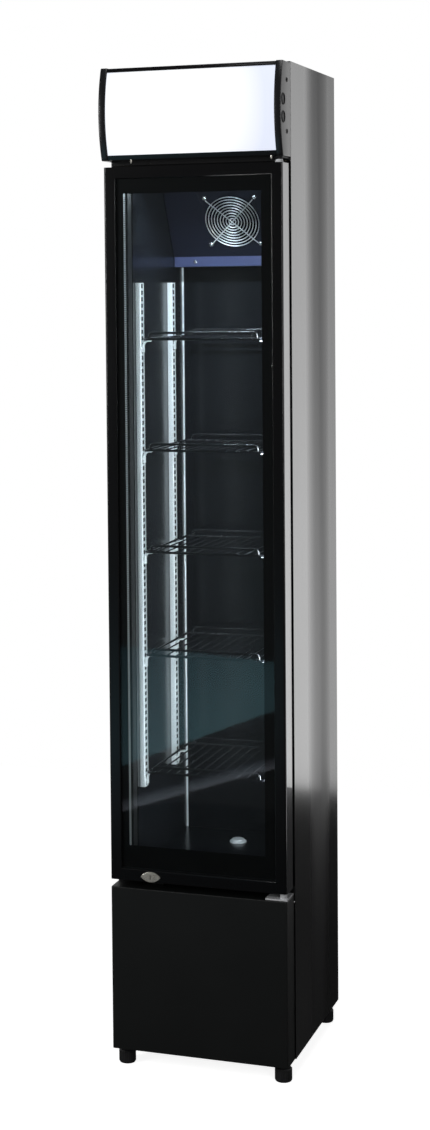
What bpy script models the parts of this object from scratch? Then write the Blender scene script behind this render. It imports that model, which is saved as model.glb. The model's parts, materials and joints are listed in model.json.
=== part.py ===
"""A tall slim glass door merchandiser: an insulated steel cabinet with a lit sign box, a double glazed door,
wire shelves on slotted rails, a fan cooler behind a sloping cover and a compressor bay behind a front cover.
Metres, +Z up. The front faces -Y. The origin is on the floor, under the middle of the bounding box."""

import math

import bmesh
import bpy
from mathutils import Matrix, Vector

# Driving dimensions, in metres

FIT = 0.0003
BODY_WIDTH = 0.360
BODY_DEPTH = 0.353
FOOT_HEIGHT = 0.037
KICK_HEIGHT = 0.322
HINGE_GAP_LOW = 0.015
DOOR_HEIGHT = 1.386
HINGE_GAP_HIGH = 0.012
CANOPY_HEIGHT = 0.177
CANOPY_SETDOWN = 0.003

CASE_SHEET = 0.0012
LINER_SHEET = 0.0015
SIDE_WALL = 0.042
BACK_WALL = 0.034
FLOOR_WALL = 0.042
CEILING_WALL = 0.040
HEADER_WALL = 0.042
HEADER_DROP = 0.035
MACHINE_HEIGHT = 0.309
BREAKER_THICKNESS = 0.004
BREAKER_TOP = 0.040

DOOR_WIDTH = 0.355
DOOR_THICKNESS = 0.045
DOOR_STANDOFF = 0.008
DOOR_LIP = 0.0228
DOOR_LIP_DEPTH = 0.003
DOOR_STILE = 0.012
DOOR_LOW_RAIL = 0.024
DOOR_CORNER_RADIUS = 0.004
GLASS_THICKNESS = 0.004
SPACER_DEPTH = 0.012
SPACER_EDGE = 0.037
BEAD_EDGE = 0.040
GASKET_EDGE = 0.022
GASKET_WIDTH = 0.016
GASKET_ROOT = 0.003

HINGE_INSET = 0.010
HINGE_SETBACK = 0.014
HINGE_PIN_RADIUS = 0.004
HINGE_PIN_REACH = 0.009
HINGE_PLATE = 0.003
HINGE_WASHER_RADIUS = 0.007
HINGE_HALF_WIDTH = 0.009
LOW_HINGE_ARM = 0.034

LOCK_X = -0.095
LOCK_RISE = 0.0105
LOCK_BARREL_RADIUS = 0.0065
LOCK_HEAD_RADIUS = 0.0082
LOCK_HEAD_REACH = 0.0045
LOCK_PLATE_LENGTH = 0.040
LOCK_PLATE_HEIGHT = 0.020
LOCK_PLATE_THICKNESS = 0.0025
LOCK_CAM_LENGTH = 0.018
LOCK_CAM_WIDTH = 0.007
LOCK_CAM_THICKNESS = 0.003
KEEPER_WIDTH = 0.026
KEEPER_HEIGHT = 0.009
KEEPER_THICKNESS = 0.0025

CANOPY_WIDTH = 0.360
CANOPY_CREST = 0.073
CANOPY_SIDE = 0.056
CAP_WIDTH = 0.0135
CAP_RISE = 0.0015
RAIL_HEIGHT_TOP = 0.0075
RAIL_HEIGHT_LOW = 0.0085
RAIL_SHEET = 0.002
RAIL_NOSE = 0.010
SIGN_THICKNESS = 0.003
SIGN_SETBACK = 0.002
SIGN_LAMP_SECTION = 0.012
SIGN_LAMP_LENGTH = 0.300
ARC_STEPS = 12

SWITCH_RADIUS = 0.0095
SWITCH_CLEARANCE = 0.0008
SWITCH_THICKNESS = 0.006
SWITCH_POCKET = 0.010
SWITCH_RECESS = 0.0015
SWITCH_TILT = 8.0
SWITCH_SETBACK = 0.017
SWITCH_PITCH = 0.033

FAN_COVER_SHEET = 0.0015
FAN_COVER_LIP = 0.0195
FAN_COVER_LIP_GAP = 0.0545
FAN_COVER_DROP = 0.3415
FAN_COVER_SLOPE = 28.75
FAN_SIZE = 0.120
FAN_DEPTH = 0.025
FAN_SCREW_PITCH = 0.105
FAN_BORE_RADIUS = 0.0565
FAN_BLADE_RADIUS = 0.0540
FAN_HUB_RADIUS = 0.021
FAN_SHAFT_RADIUS = 0.003
FAN_BOSS_DEPTH = 0.005
FAN_BLADES = 5
FAN_CENTRE_UP = 0.082
GUARD_RINGS = 8
GUARD_WIRE = 0.0022
GUARD_INNER_RADIUS = 0.0075
GUARD_STANDOFF = 0.0035
GUARD_EYE_RADIUS = 0.005
EVAPORATOR_HEIGHT = 0.130
EVAPORATOR_DEPTH = 0.100
EVAPORATOR_MARGIN = 0.020
LAMP_WIDTH = 0.020
LAMP_HEIGHT = 0.009
LAMP_LENGTH = 0.220
LAMP_SETBACK = 0.012

PILASTER_WIDTH = 0.022
PILASTER_DEPTH = 0.010
PILASTER_SHEET = 0.0015
PILASTER_LENGTH = 0.995
PILASTER_RISE = 0.155
PILASTER_FRONT_SETBACK = 0.015
PILASTER_REAR_INSET = 0.103
SHELF_1_RISE = 0.1835
SHELF_2_RISE = 0.4168
SHELF_3_RISE = 0.6207
SHELF_4_RISE = 0.8205
SHELF_5_RISE = 1.0376
SHELF_REAR_GAP = 0.0307
SHELF_FRONT_SETBACK = 0.002
SHELF_SIDE_GAP = 0.004
SHELF_BAR = 0.005
SHELF_WIRE = 0.003
SHELF_WIRES = 11
SHELF_LIP_HEIGHT = 0.0175
SHELF_LIP_INSET = 0.013
CLIP_WIDTH = 0.010
CLIP_THICKNESS = 0.005
CLIP_REACH = 0.012

FOOT_RADIUS = 0.017
FOOT_STEM_RADIUS = 0.004
FOOT_STEM_REACH = 0.016
FOOT_INSET_X = 0.021
FOOT_FRONT_SETBACK = 0.036
FOOT_REAR_INSET = 0.030
BASE_SHEET = 0.002

GRILLE_INSET = 0.010
GRILLE_THICKNESS = 0.0015
GRILLE_SLOTS = 9
GRILLE_SLOT_HEIGHT = 0.008
GRILLE_MARGIN = 0.050
COMPRESSOR_RADIUS = 0.070
COMPRESSOR_HEIGHT = 0.175
COMPRESSOR_X = 0.075
CONDENSER_WIDTH = 0.130
CONDENSER_DEPTH = 0.060
CONDENSER_HEIGHT = 0.200
CONDENSER_X = -0.090
CONDENSER_SETBACK = 0.020
TRAY_WIDTH = 0.120
TRAY_DEPTH = 0.090
TRAY_HEIGHT = 0.030
TRAY_WALL = 0.002
CONTROL_WIDTH = 0.090
CONTROL_HEIGHT = 0.060
CONTROL_DEPTH = 0.045
GLAND_RADIUS = 0.010
GLAND_REACH = 0.006
GLAND_X = -0.110
DRAIN_RADIUS = 0.017
DRAIN_HEIGHT = 0.007
DRAIN_INSET = 0.089

ROUND_STEPS = 24

# Places worked out from the driving dimensions

BODY_FRONT = (CANOPY_CREST - BODY_DEPTH) / 2
BODY_BACK = BODY_FRONT + BODY_DEPTH
DOOR_BACK = BODY_FRONT - DOOR_STANDOFF
DOOR_FRONT = DOOR_BACK - DOOR_THICKNESS
BODY_BOTTOM = FOOT_HEIGHT
KICK_TOP = BODY_BOTTOM + KICK_HEIGHT
DOOR_BOTTOM = KICK_TOP + HINGE_GAP_LOW
DOOR_TOP = DOOR_BOTTOM + DOOR_HEIGHT
CANOPY_BOTTOM = DOOR_TOP + HINGE_GAP_HIGH
CANOPY_TOP = CANOPY_BOTTOM + CANOPY_HEIGHT
BODY_TOP = CANOPY_TOP + CANOPY_SETDOWN
BODY_HALF = BODY_WIDTH / 2
DOOR_HALF = DOOR_WIDTH / 2
CANOPY_HALF = CANOPY_WIDTH / 2
INNER_HALF = BODY_HALF - SIDE_WALL
INNER_BACK = BODY_BACK - BACK_WALL
FLOOR_TOP = BODY_BOTTOM + MACHINE_HEIGHT + FLOOR_WALL
CEILING = BODY_TOP - CEILING_WALL
HEADER_BOTTOM = DOOR_TOP - HEADER_DROP
FOAM_FRONT = BODY_FRONT + BREAKER_THICKNESS + FIT
HINGE_X = DOOR_HALF - HINGE_INSET
HINGE_Y = DOOR_FRONT + HINGE_SETBACK
LOCK_Z = DOOR_BOTTOM + LOCK_RISE
PILASTER_FACE = INNER_HALF - FIT - PILASTER_DEPTH


# Finishes

def finish(name, colour, roughness, metallic=0.0):
    """A plain surface finish with the colour, roughness and metallic value of the real piece."""
    material = bpy.data.materials.new(name)
    material.use_nodes = True
    shader = material.node_tree.nodes["Principled BSDF"]
    shader.inputs["Base Color"].default_value = (*colour, 1.0)
    shader.inputs["Roughness"].default_value = roughness
    shader.inputs["Metallic"].default_value = metallic
    return material


def clear_scene():
    for obj in list(bpy.data.objects):
        bpy.data.objects.remove(obj, do_unlink=True)


clear_scene()
BLACK_STEEL = finish("black_steel", (0.012, 0.012, 0.014), 0.30, 0.2)
BLACK_PLASTIC = finish("black_plastic", (0.010, 0.010, 0.011), 0.35)
LINER_BLACK = finish("liner_black", (0.020, 0.020, 0.022), 0.40)
FOAM = finish("foam", (0.75, 0.68, 0.45), 0.90)
SIGN_WHITE = finish("sign_white", (0.92, 0.94, 0.97), 0.35)
LAMP_WHITE = finish("lamp_white", (0.90, 0.92, 0.95), 0.40)
GLASS = finish("glass", (0.80, 0.85, 0.85), 0.05)
ALUMINIUM = finish("aluminium", (0.75, 0.75, 0.77), 0.35, 1.0)
CHROME = finish("chrome", (0.80, 0.80, 0.82), 0.12, 1.0)
RUBBER = finish("rubber", (0.015, 0.015, 0.016), 0.80)
COPPER_FINS = finish("coil_fins", (0.60, 0.60, 0.62), 0.45, 1.0)
WHITE_PLASTIC = finish("white_plastic", (0.85, 0.86, 0.88), 0.40)


# Shape helpers

def new_object(name, mesh_data, material):
    """Gives the shape a name, a finish and outward faces, and places it in the scene."""
    bmesh.ops.recalc_face_normals(mesh_data, faces=mesh_data.faces)
    mesh = bpy.data.meshes.new(name)
    mesh_data.to_mesh(mesh)
    mesh_data.free()
    mesh.materials.append(material)
    obj = bpy.data.objects.new(name, mesh)
    bpy.context.scene.collection.objects.link(obj)
    return obj


def block(name, low, high, material):
    """A rectangular block between two opposite corners."""
    low, high = Vector(low), Vector(high)
    shape = bmesh.new()
    place = Matrix.Translation((low + high) / 2) @ Matrix.Diagonal((*(high - low), 1.0))
    bmesh.ops.create_cube(shape, size=1.0, matrix=place)
    return new_object(name, shape, material)


def extrude_flat(shape, travel):
    """Thickens a flat sheet of faces into a closed solid along one direction."""
    made = bmesh.ops.extrude_face_region(shape, geom=shape.faces[:])
    moved = [item for item in made["geom"] if isinstance(item, bmesh.types.BMVert)]
    bmesh.ops.translate(shape, verts=moved, vec=travel)


def prism(name, outline, place, travel, material):
    """A flat outline, set in space by place(u, v), pulled along travel."""
    shape = bmesh.new()
    shape.faces.new([shape.verts.new(place(u, v)) for u, v in outline])
    extrude_flat(shape, Vector(travel))
    return new_object(name, shape, material)


def windowed_plate(name, us, vs, is_open, place, travel, material):
    """A flat plate ruled by the lines us and vs, with the cells that is_open(i, j) names left out."""
    shape = bmesh.new()
    corners = {}

    def corner(i, j):
        if (i, j) not in corners:
            corners[i, j] = shape.verts.new(place(us[i], vs[j]))
        return corners[i, j]

    for i in range(len(us) - 1):
        for j in range(len(vs) - 1):
            if not is_open(i, j):
                ring = ((i, j), (i + 1, j), (i + 1, j + 1), (i, j + 1))
                shape.faces.new([corner(*at) for at in ring])
    extrude_flat(shape, Vector(travel))
    return new_object(name, shape, material)


def frame_ring(name, half, z_low, z_high, side, low, high, y_front, y_back, material):
    """An upright rectangular ring facing -Y, with its own border at the sides, bottom and top."""
    us = (-half, -half + side, half - side, half)
    vs = (z_low, z_low + low, z_high - high, z_high)
    return windowed_plate(name, us, vs, lambda i, j: i == 1 and j == 1,
                          lambda u, v: (u, y_front, v), (0, y_back - y_front, 0), material)


def turned(name, profile, material, steps=ROUND_STEPS):
    """A profile of (radius, height) points turned about Z. One that starts off the axis is a closed ring."""
    shape = bmesh.new()
    points = [shape.verts.new((radius, 0, height)) for radius, height in profile]
    pairs = list(zip(points, points[1:]))
    if profile[0][0] > 0:
        pairs.append((points[-1], points[0]))
    edges = [shape.edges.new(pair) for pair in pairs]
    bmesh.ops.spin(shape, geom=points + edges, cent=(0, 0, 0), axis=(0, 0, 1), angle=math.tau,
                   steps=steps, use_merge=True)
    bmesh.ops.remove_doubles(shape, verts=shape.verts, dist=1e-6)
    obj = new_object(name, shape, material)
    obj.data.shade_smooth()
    obj.data.set_sharp_from_angle(angle=math.radians(40))
    return obj


def rod(name, radius, low, high, material, steps=ROUND_STEPS):
    """An upright round rod on the Z axis between two heights."""
    return turned(name, ((0, high), (radius, high), (radius, low), (0, low)), material, steps)


def helper(obj):
    """Keeps a cutter or an added form out of the finished model."""
    obj.hide_render = True
    obj.display_type = "WIRE"
    return obj


def combine(obj, other, operation):
    helper(other)
    modifier = obj.modifiers.new(f"{operation.lower()}_{other.name}", "BOOLEAN")
    modifier.operation = operation
    modifier.solver = "EXACT"
    modifier.object = other
    return obj


def cut(obj, other):
    return combine(obj, other, "DIFFERENCE")


def fuse(obj, other):
    return combine(obj, other, "UNION")


def pivot(name, location, turn=None):
    """An empty on a joint's axis, which carries what turns about it."""
    empty = bpy.data.objects.new(name, None)
    bpy.context.scene.collection.objects.link(empty)
    empty.matrix_world = Matrix.Translation(location) @ (turn or Matrix())
    bpy.context.view_layer.update()
    return empty


def carry(parent, *pieces):
    """Parents pieces that are already in place."""
    for piece in pieces:
        piece.parent = parent
        piece.matrix_parent_inverse = parent.matrix_world.inverted()


# Cabinet case, foam and liner

def build_case():
    side_back = BODY_BACK
    inside = BODY_HALF - CASE_SHEET
    for name, sign in (("case_left", -1), ("case_right", 1)):
        xs = sorted((sign * inside, sign * BODY_HALF))
        block(name, (xs[0], BODY_FRONT, BODY_BOTTOM), (xs[1], side_back, BODY_TOP), BLACK_STEEL)
    reach = inside - FIT
    top_low = BODY_TOP - CASE_SHEET
    block("case_top", (-reach, BODY_FRONT, top_low), (reach, BODY_BACK, BODY_TOP), BLACK_STEEL)
    foam_low = FLOOR_TOP - FLOOR_WALL
    block("case_back", (-reach, BODY_BACK - CASE_SHEET, foam_low), (reach, BODY_BACK, top_low - FIT),
          BLACK_STEEL)
    breaker_high = HEADER_BOTTOM + BREAKER_TOP
    block("case_header", (-reach, BODY_FRONT, breaker_high + FIT),
          (reach, BODY_FRONT + BREAKER_THICKNESS, top_low - FIT), BLACK_STEEL)
    sill = DOOR_BOTTOM + GASKET_EDGE + GASKET_WIDTH - foam_low
    frame_ring("breaker_frame", reach, foam_low, breaker_high, reach - INNER_HALF, sill, BREAKER_TOP,
               BODY_FRONT, BODY_FRONT + BREAKER_THICKNESS, BLACK_PLASTIC)


def build_foam():
    reach = BODY_HALF - CASE_SHEET - 2 * FIT
    back = BODY_BACK - CASE_SHEET - FIT
    foam = block("insulation_foam", (-reach, FOAM_FRONT, FLOOR_TOP - FLOOR_WALL),
                 (reach, back, BODY_TOP - CASE_SHEET - FIT), FOAM)
    skin = LINER_SHEET + FIT
    hollow = block("liner_space", (-INNER_HALF - skin, FOAM_FRONT - SIDE_WALL, FLOOR_TOP - skin),
                   (INNER_HALF + skin, INNER_BACK + skin, CEILING + skin), FOAM)
    cut(foam, hollow)


def build_liner():
    high = CEILING - FIT
    low = FLOOR_TOP + FIT
    for name, sign in (("liner_left", -1), ("liner_right", 1)):
        xs = sorted((sign * INNER_HALF, sign * (INNER_HALF + LINER_SHEET)))
        block(name, (xs[0], FOAM_FRONT, low), (xs[1], INNER_BACK - FIT, high), LINER_BLACK)
    reach = INNER_HALF + LINER_SHEET
    block("liner_back", (-reach, INNER_BACK, low), (reach, INNER_BACK + LINER_SHEET, high), LINER_BLACK)
    block("liner_floor", (-reach, FOAM_FRONT, FLOOR_TOP - LINER_SHEET),
          (reach, INNER_BACK + LINER_SHEET, FLOOR_TOP), LINER_BLACK)
    block("liner_ceiling", (-reach, FOAM_FRONT, CEILING),
          (reach, INNER_BACK + LINER_SHEET, CEILING + LINER_SHEET), LINER_BLACK)
    inner = INNER_HALF - FIT
    block("header_panel", (-inner, FOAM_FRONT, HEADER_BOTTOM),
          (inner, FOAM_FRONT + HEADER_WALL, CEILING - FIT), LINER_BLACK)
    rim = DRAIN_HEIGHT * 0.4
    drain = turned("drain_cap", ((0, DRAIN_HEIGHT), (DRAIN_RADIUS * 0.70, DRAIN_HEIGHT),
                                 (DRAIN_RADIUS * 0.80, rim), (DRAIN_RADIUS, rim), (DRAIN_RADIUS, 0), (0, 0)),
                   WHITE_PLASTIC)
    drain.location = (0, INNER_BACK - DRAIN_INSET, FLOOR_TOP + FIT)


# Compressor bay, its front cover and the feet

def foot_places():
    x = BODY_HALF - FOOT_INSET_X
    front, back = DOOR_FRONT + FOOT_FRONT_SETBACK, BODY_BACK - FOOT_REAR_INSET
    return {"foot_front_left": (-x, front), "foot_front_right": (x, front),
            "foot_rear_left": (-x, back), "foot_rear_right": (x, back)}


def build_base():
    wide = BODY_HALF - CASE_SHEET - FIT
    narrow = DOOR_HALF - CASE_SHEET - FIT
    nose = DOOR_FRONT + CASE_SHEET + FIT
    outline = ((-narrow, nose), (narrow, nose), (narrow, BODY_FRONT), (wide, BODY_FRONT),
               (wide, BODY_BACK), (-wide, BODY_BACK), (-wide, BODY_FRONT), (-narrow, BODY_FRONT))
    pan = prism("base_pan", outline, lambda u, v: (u, v, BODY_BOTTOM), (0, 0, BASE_SHEET), BLACK_STEEL)
    profile = ((0, FOOT_HEIGHT + FOOT_STEM_REACH), (FOOT_STEM_RADIUS, FOOT_HEIGHT + FOOT_STEM_REACH),
               (FOOT_STEM_RADIUS, FOOT_HEIGHT - FIT), (FOOT_RADIUS, FOOT_HEIGHT - FIT),
               (FOOT_RADIUS, FOOT_RADIUS * 0.3), (FOOT_RADIUS * 0.88, 0), (0, 0))
    for name, (x, y) in foot_places().items():
        foot = turned(name, profile, RUBBER)
        foot.location = (x, y, 0)
        hole = rod(f"hole_{name}", FOOT_STEM_RADIUS + FIT, -BASE_SHEET, 2 * BASE_SHEET, BLACK_STEEL)
        hole.location = (x, y, BODY_BOTTOM)
        cut(pan, hole)


def build_kick_panel():
    back = BODY_FRONT - FIT
    panel = block("kick_panel", (-DOOR_HALF, DOOR_FRONT, BODY_BOTTOM), (DOOR_HALF, back, KICK_TOP),
                  BLACK_STEEL)
    inner = DOOR_HALF - CASE_SHEET
    cut(panel, block("kick_hollow", (-inner, DOOR_FRONT + CASE_SHEET, BODY_BOTTOM - CASE_SHEET),
                     (inner, back + CASE_SHEET, KICK_TOP - CASE_SHEET), BLACK_STEEL))
    keeper_back = DOOR_BACK - FIT
    half = KEEPER_WIDTH / 2
    fuse(panel, block("lock_keeper", (LOCK_X - half, keeper_back - KEEPER_THICKNESS, KICK_TOP - CASE_SHEET),
                      (LOCK_X + half, keeper_back, KICK_TOP + KEEPER_HEIGHT), BLACK_STEEL))


def comb_outline(length, depth, teeth, spine):
    """The outline of a row of fins on a spine, from (0, 0), with a fin at each end."""
    pitch = length / (2 * teeth - 1)
    outline = [(0, 0)]
    for tooth in range(teeth):
        start = 2 * tooth * pitch
        if tooth > 0:
            outline.append((start, spine))
        outline += [(start, depth), (start + pitch, depth)]
        if tooth < teeth - 1:
            outline.append((start + pitch, spine))
    outline.append((length, 0))
    return outline


def build_machine():
    deck = BODY_BOTTOM + BASE_SHEET + FIT
    shell = COMPRESSOR_RADIUS
    tall = COMPRESSOR_HEIGHT
    profile = ((0, tall), (shell * 0.55, tall * 0.97), (shell * 0.88, tall * 0.86),
               (shell * 0.95, tall * 0.70), (shell * 0.95, tall * 0.48), (shell, tall * 0.46),
               (shell, tall * 0.42), (shell * 0.95, tall * 0.40), (shell * 0.90, tall * 0.12),
               (shell * 0.98, tall * 0.06), (shell * 0.98, 0), (0, 0))
    compressor = turned("compressor", profile, BLACK_STEEL)
    compressor.location = (COMPRESSOR_X, (BODY_FRONT + BODY_BACK) / 2, deck)
    fins = comb_outline(CONDENSER_WIDTH, CONDENSER_DEPTH, 9, CONDENSER_DEPTH * 0.3)
    left = CONDENSER_X - CONDENSER_WIDTH / 2
    front = BODY_FRONT + CONDENSER_SETBACK
    prism("condenser", fins, lambda u, v: (left + u, front + v, deck), (0, 0, CONDENSER_HEIGHT), COPPER_FINS)
    tray_front = front + CONDENSER_DEPTH + CONDENSER_SETBACK
    tray_left = CONDENSER_X - TRAY_WIDTH / 2
    tray = block("drain_tray", (tray_left, tray_front, deck),
                 (tray_left + TRAY_WIDTH, tray_front + TRAY_DEPTH, deck + TRAY_HEIGHT), BLACK_PLASTIC)
    cut(tray, block("tray_hollow", (tray_left + TRAY_WALL, tray_front + TRAY_WALL, deck + TRAY_WALL),
                    (tray_left + TRAY_WIDTH - TRAY_WALL, tray_front + TRAY_DEPTH - TRAY_WALL,
                     deck + 2 * TRAY_HEIGHT), BLACK_PLASTIC))


def build_rear_grille():
    reach = BODY_HALF - CASE_SHEET - FIT
    back = BODY_BACK - GRILLE_INSET
    low = BODY_BOTTOM + BASE_SHEET + FIT
    high = FLOOR_TOP - FLOOR_WALL - FIT
    us = (-reach, -reach + GRILLE_MARGIN, reach - GRILLE_MARGIN, reach)
    pitch = (high - low - 2 * GRILLE_MARGIN - GRILLE_SLOT_HEIGHT) / (GRILLE_SLOTS - 1)
    vs = [low]
    for slot in range(GRILLE_SLOTS):
        start = low + GRILLE_MARGIN + slot * pitch
        vs += [start, start + GRILLE_SLOT_HEIGHT]
    vs.append(high)
    grille = windowed_plate("rear_grille", us, vs, lambda i, j: i == 1 and j % 2 == 1,
                            lambda u, v: (u, back, v), (0, -GRILLE_THICKNESS, 0), BLACK_STEEL)
    box_back = back - GRILLE_THICKNESS - FIT
    box = block("control_box", (GLAND_X - CONTROL_WIDTH / 2, box_back - CONTROL_DEPTH, high - CONTROL_HEIGHT),
                (GLAND_X + CONTROL_WIDTH / 2, box_back, high - FIT), BLACK_PLASTIC)
    at_gland = (Matrix.Translation((GLAND_X, back, high - GRILLE_MARGIN / 2))
                @ Matrix.Rotation(-math.pi / 2, 4, "X"))
    root = -GRILLE_THICKNESS - GLAND_REACH
    gland = turned("cable_inlet", ((0, GLAND_REACH), (GLAND_RADIUS * 0.7, GLAND_REACH),
                                   (GLAND_RADIUS, GLAND_REACH / 2), (GLAND_RADIUS, root), (0, root)),
                   BLACK_PLASTIC)
    gland.matrix_world = at_gland
    fuse(box, gland)
    gland_hole = rod("gland_hole", GLAND_RADIUS + FIT, root, GLAND_REACH, BLACK_STEEL)
    gland_hole.matrix_world = at_gland
    cut(grille, gland_hole)


# Sign box above the door

def canopy_arc(inset, z_low, z_high):
    """Points (y, z) up the bowed front of the sign box, set back by inset from the end caps' edge."""
    half = CANOPY_HEIGHT / 2
    sag = CANOPY_CREST - CANOPY_SIDE
    radius = (half * half + sag * sag) / (2 * sag)
    middle = CANOPY_BOTTOM + half
    points = []
    for step in range(ARC_STEPS + 1):
        z = z_low + (z_high - z_low) * step / ARC_STEPS
        bow = radius - math.sqrt(radius * radius - (z - middle) ** 2)
        points.append((BODY_FRONT - CANOPY_CREST + bow + inset, z))
    return points


def across(sign_x):
    """Sets a (y, z) outline on an upright plane at one x."""
    return lambda y, z: (sign_x, y, z)


def switch_places():
    y = BODY_FRONT - CANOPY_CREST + SWITCH_SETBACK
    middle = (CANOPY_BOTTOM + CANOPY_TOP) / 2
    return {"lamp_switch": (y, middle + SWITCH_PITCH / 2), "cooling_switch": (y, middle - SWITCH_PITCH / 2)}


def build_canopy():
    back = BODY_FRONT - FIT
    outline = canopy_arc(0, CANOPY_BOTTOM, CANOPY_TOP) + [(back, CANOPY_TOP), (back, CANOPY_BOTTOM)]
    prism("canopy_cap_left", outline, across(-CANOPY_HALF), (CAP_WIDTH, 0, 0), BLACK_PLASTIC)
    right = prism("canopy_cap_right", outline, across(CANOPY_HALF), (-CAP_WIDTH, 0, 0), BLACK_PLASTIC)
    for name, (y, z) in switch_places().items():
        pocket = rod(f"pocket_{name}", SWITCH_RADIUS + SWITCH_CLEARANCE, -SWITCH_POCKET, SWITCH_POCKET,
                     BLACK_PLASTIC)
        pocket.matrix_world = Matrix.Translation((CANOPY_HALF, y, z)) @ Matrix.Rotation(math.pi / 2, 4, "Y")
        cut(right, pocket)
    inner = CANOPY_HALF - CAP_WIDTH - FIT
    span = (2 * inner, 0, 0)
    rail_top, rail_low = CANOPY_TOP - CAP_RISE, CANOPY_BOTTOM + CAP_RISE
    sign_top, sign_low = rail_top - RAIL_HEIGHT_TOP, rail_low + RAIL_HEIGHT_LOW
    nose_top = canopy_arc(0, sign_top, rail_top)
    nose_low = canopy_arc(0, rail_low, sign_low)
    top_back = nose_top[0][0] + RAIL_NOSE
    low_back = nose_low[-1][0] + RAIL_NOSE
    plate_top, plate_low = rail_top - RAIL_SHEET, rail_low + RAIL_SHEET
    top_end = [(back, rail_top), (back, plate_top), (top_back, plate_top), (top_back, sign_top)]
    low_end = [(low_back, sign_low), (low_back, plate_low), (back, plate_low), (back, rail_low)]
    prism("canopy_top_rail", nose_top + top_end, across(-inner), span, BLACK_PLASTIC)
    prism("canopy_bottom_rail", nose_low + low_end, across(-inner), span, BLACK_PLASTIC)
    front = canopy_arc(SIGN_SETBACK, sign_low + FIT, sign_top - FIT)
    rear = canopy_arc(SIGN_SETBACK + SIGN_THICKNESS, sign_low + FIT, sign_top - FIT)
    prism("sign_panel", front + rear[::-1], across(-inner), span, SIGN_WHITE)
    plate_back = back - RAIL_SHEET
    plate = block("canopy_back_plate", (-inner, plate_back, plate_low + FIT), (inner, back, plate_top - FIT),
                  WHITE_PLASTIC)
    middle = (CANOPY_BOTTOM + CANOPY_TOP) / 2
    half = SIGN_LAMP_SECTION / 2
    fuse(plate, block("sign_lamp", (-SIGN_LAMP_LENGTH / 2, plate_back - SIGN_LAMP_SECTION, middle - half),
                      (SIGN_LAMP_LENGTH / 2, plate_back + RAIL_SHEET / 2, middle + half), LAMP_WHITE))


def build_switches():
    for name, (y, z) in switch_places().items():
        half = SWITCH_THICKNESS / 2
        centre = CANOPY_HALF - SWITCH_RECESS - half
        rocker = rod(name, SWITCH_RADIUS, -half, half, WHITE_PLASTIC)
        rocker.matrix_world = (Matrix.Translation((centre, y, z))
                               @ Matrix.Rotation(math.radians(-SWITCH_TILT), 4, "Y")
                               @ Matrix.Rotation(math.pi / 2, 4, "Y"))


# Door, its glass, seal, lock and hinges

def build_door_frame():
    shape = bmesh.new()
    size = (DOOR_WIDTH, DOOR_THICKNESS, DOOR_HEIGHT, 1.0)
    middle = (0, (DOOR_FRONT + DOOR_BACK) / 2, (DOOR_BOTTOM + DOOR_TOP) / 2)
    bmesh.ops.create_cube(shape, size=1.0, matrix=Matrix.Translation(middle) @ Matrix.Diagonal(size))
    near = DOOR_FRONT + DOOR_THICKNESS / 10
    front_edges = [edge for edge in shape.edges
                   if all(vert.co.y < near for vert in edge.verts)
                   and abs(edge.verts[0].co.z - edge.verts[1].co.z) > DOOR_HEIGHT / 2]
    bmesh.ops.bevel(shape, geom=front_edges, offset=DOOR_CORNER_RADIUS, segments=3, profile=0.5,
                    affect="EDGES")
    frame = new_object("door_frame", shape, BLACK_PLASTIC)
    beyond = DOOR_THICKNESS
    window = DOOR_HALF - DOOR_LIP
    cut(frame, block("door_window", (-window, DOOR_FRONT - beyond, DOOR_BOTTOM + DOOR_LIP),
                     (window, DOOR_BACK + beyond, DOOR_TOP - DOOR_LIP), BLACK_PLASTIC))
    pocket = DOOR_HALF - DOOR_STILE
    cut(frame, block("glass_pocket", (-pocket, DOOR_FRONT + DOOR_LIP_DEPTH, DOOR_BOTTOM + DOOR_LOW_RAIL),
                     (pocket, DOOR_BACK + beyond, DOOR_TOP - DOOR_STILE), BLACK_PLASTIC))
    for name, z in (("top_pin_hole", DOOR_TOP), ("low_pin_hole", DOOR_BOTTOM)):
        reach = HINGE_PIN_REACH + FIT
        hole = rod(name, HINGE_PIN_RADIUS + FIT, -reach, reach, BLACK_PLASTIC)
        hole.location = (HINGE_X, HINGE_Y, z)
        cut(frame, hole)
    bore = rod("lock_bore", LOCK_BARREL_RADIUS + FIT, -beyond, beyond, BLACK_PLASTIC)
    bore.matrix_world = (Matrix.Translation((LOCK_X, DOOR_FRONT + DOOR_THICKNESS / 2, LOCK_Z))
                         @ Matrix.Rotation(math.pi / 2, 4, "X"))
    cut(frame, bore)
    return frame


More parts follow.
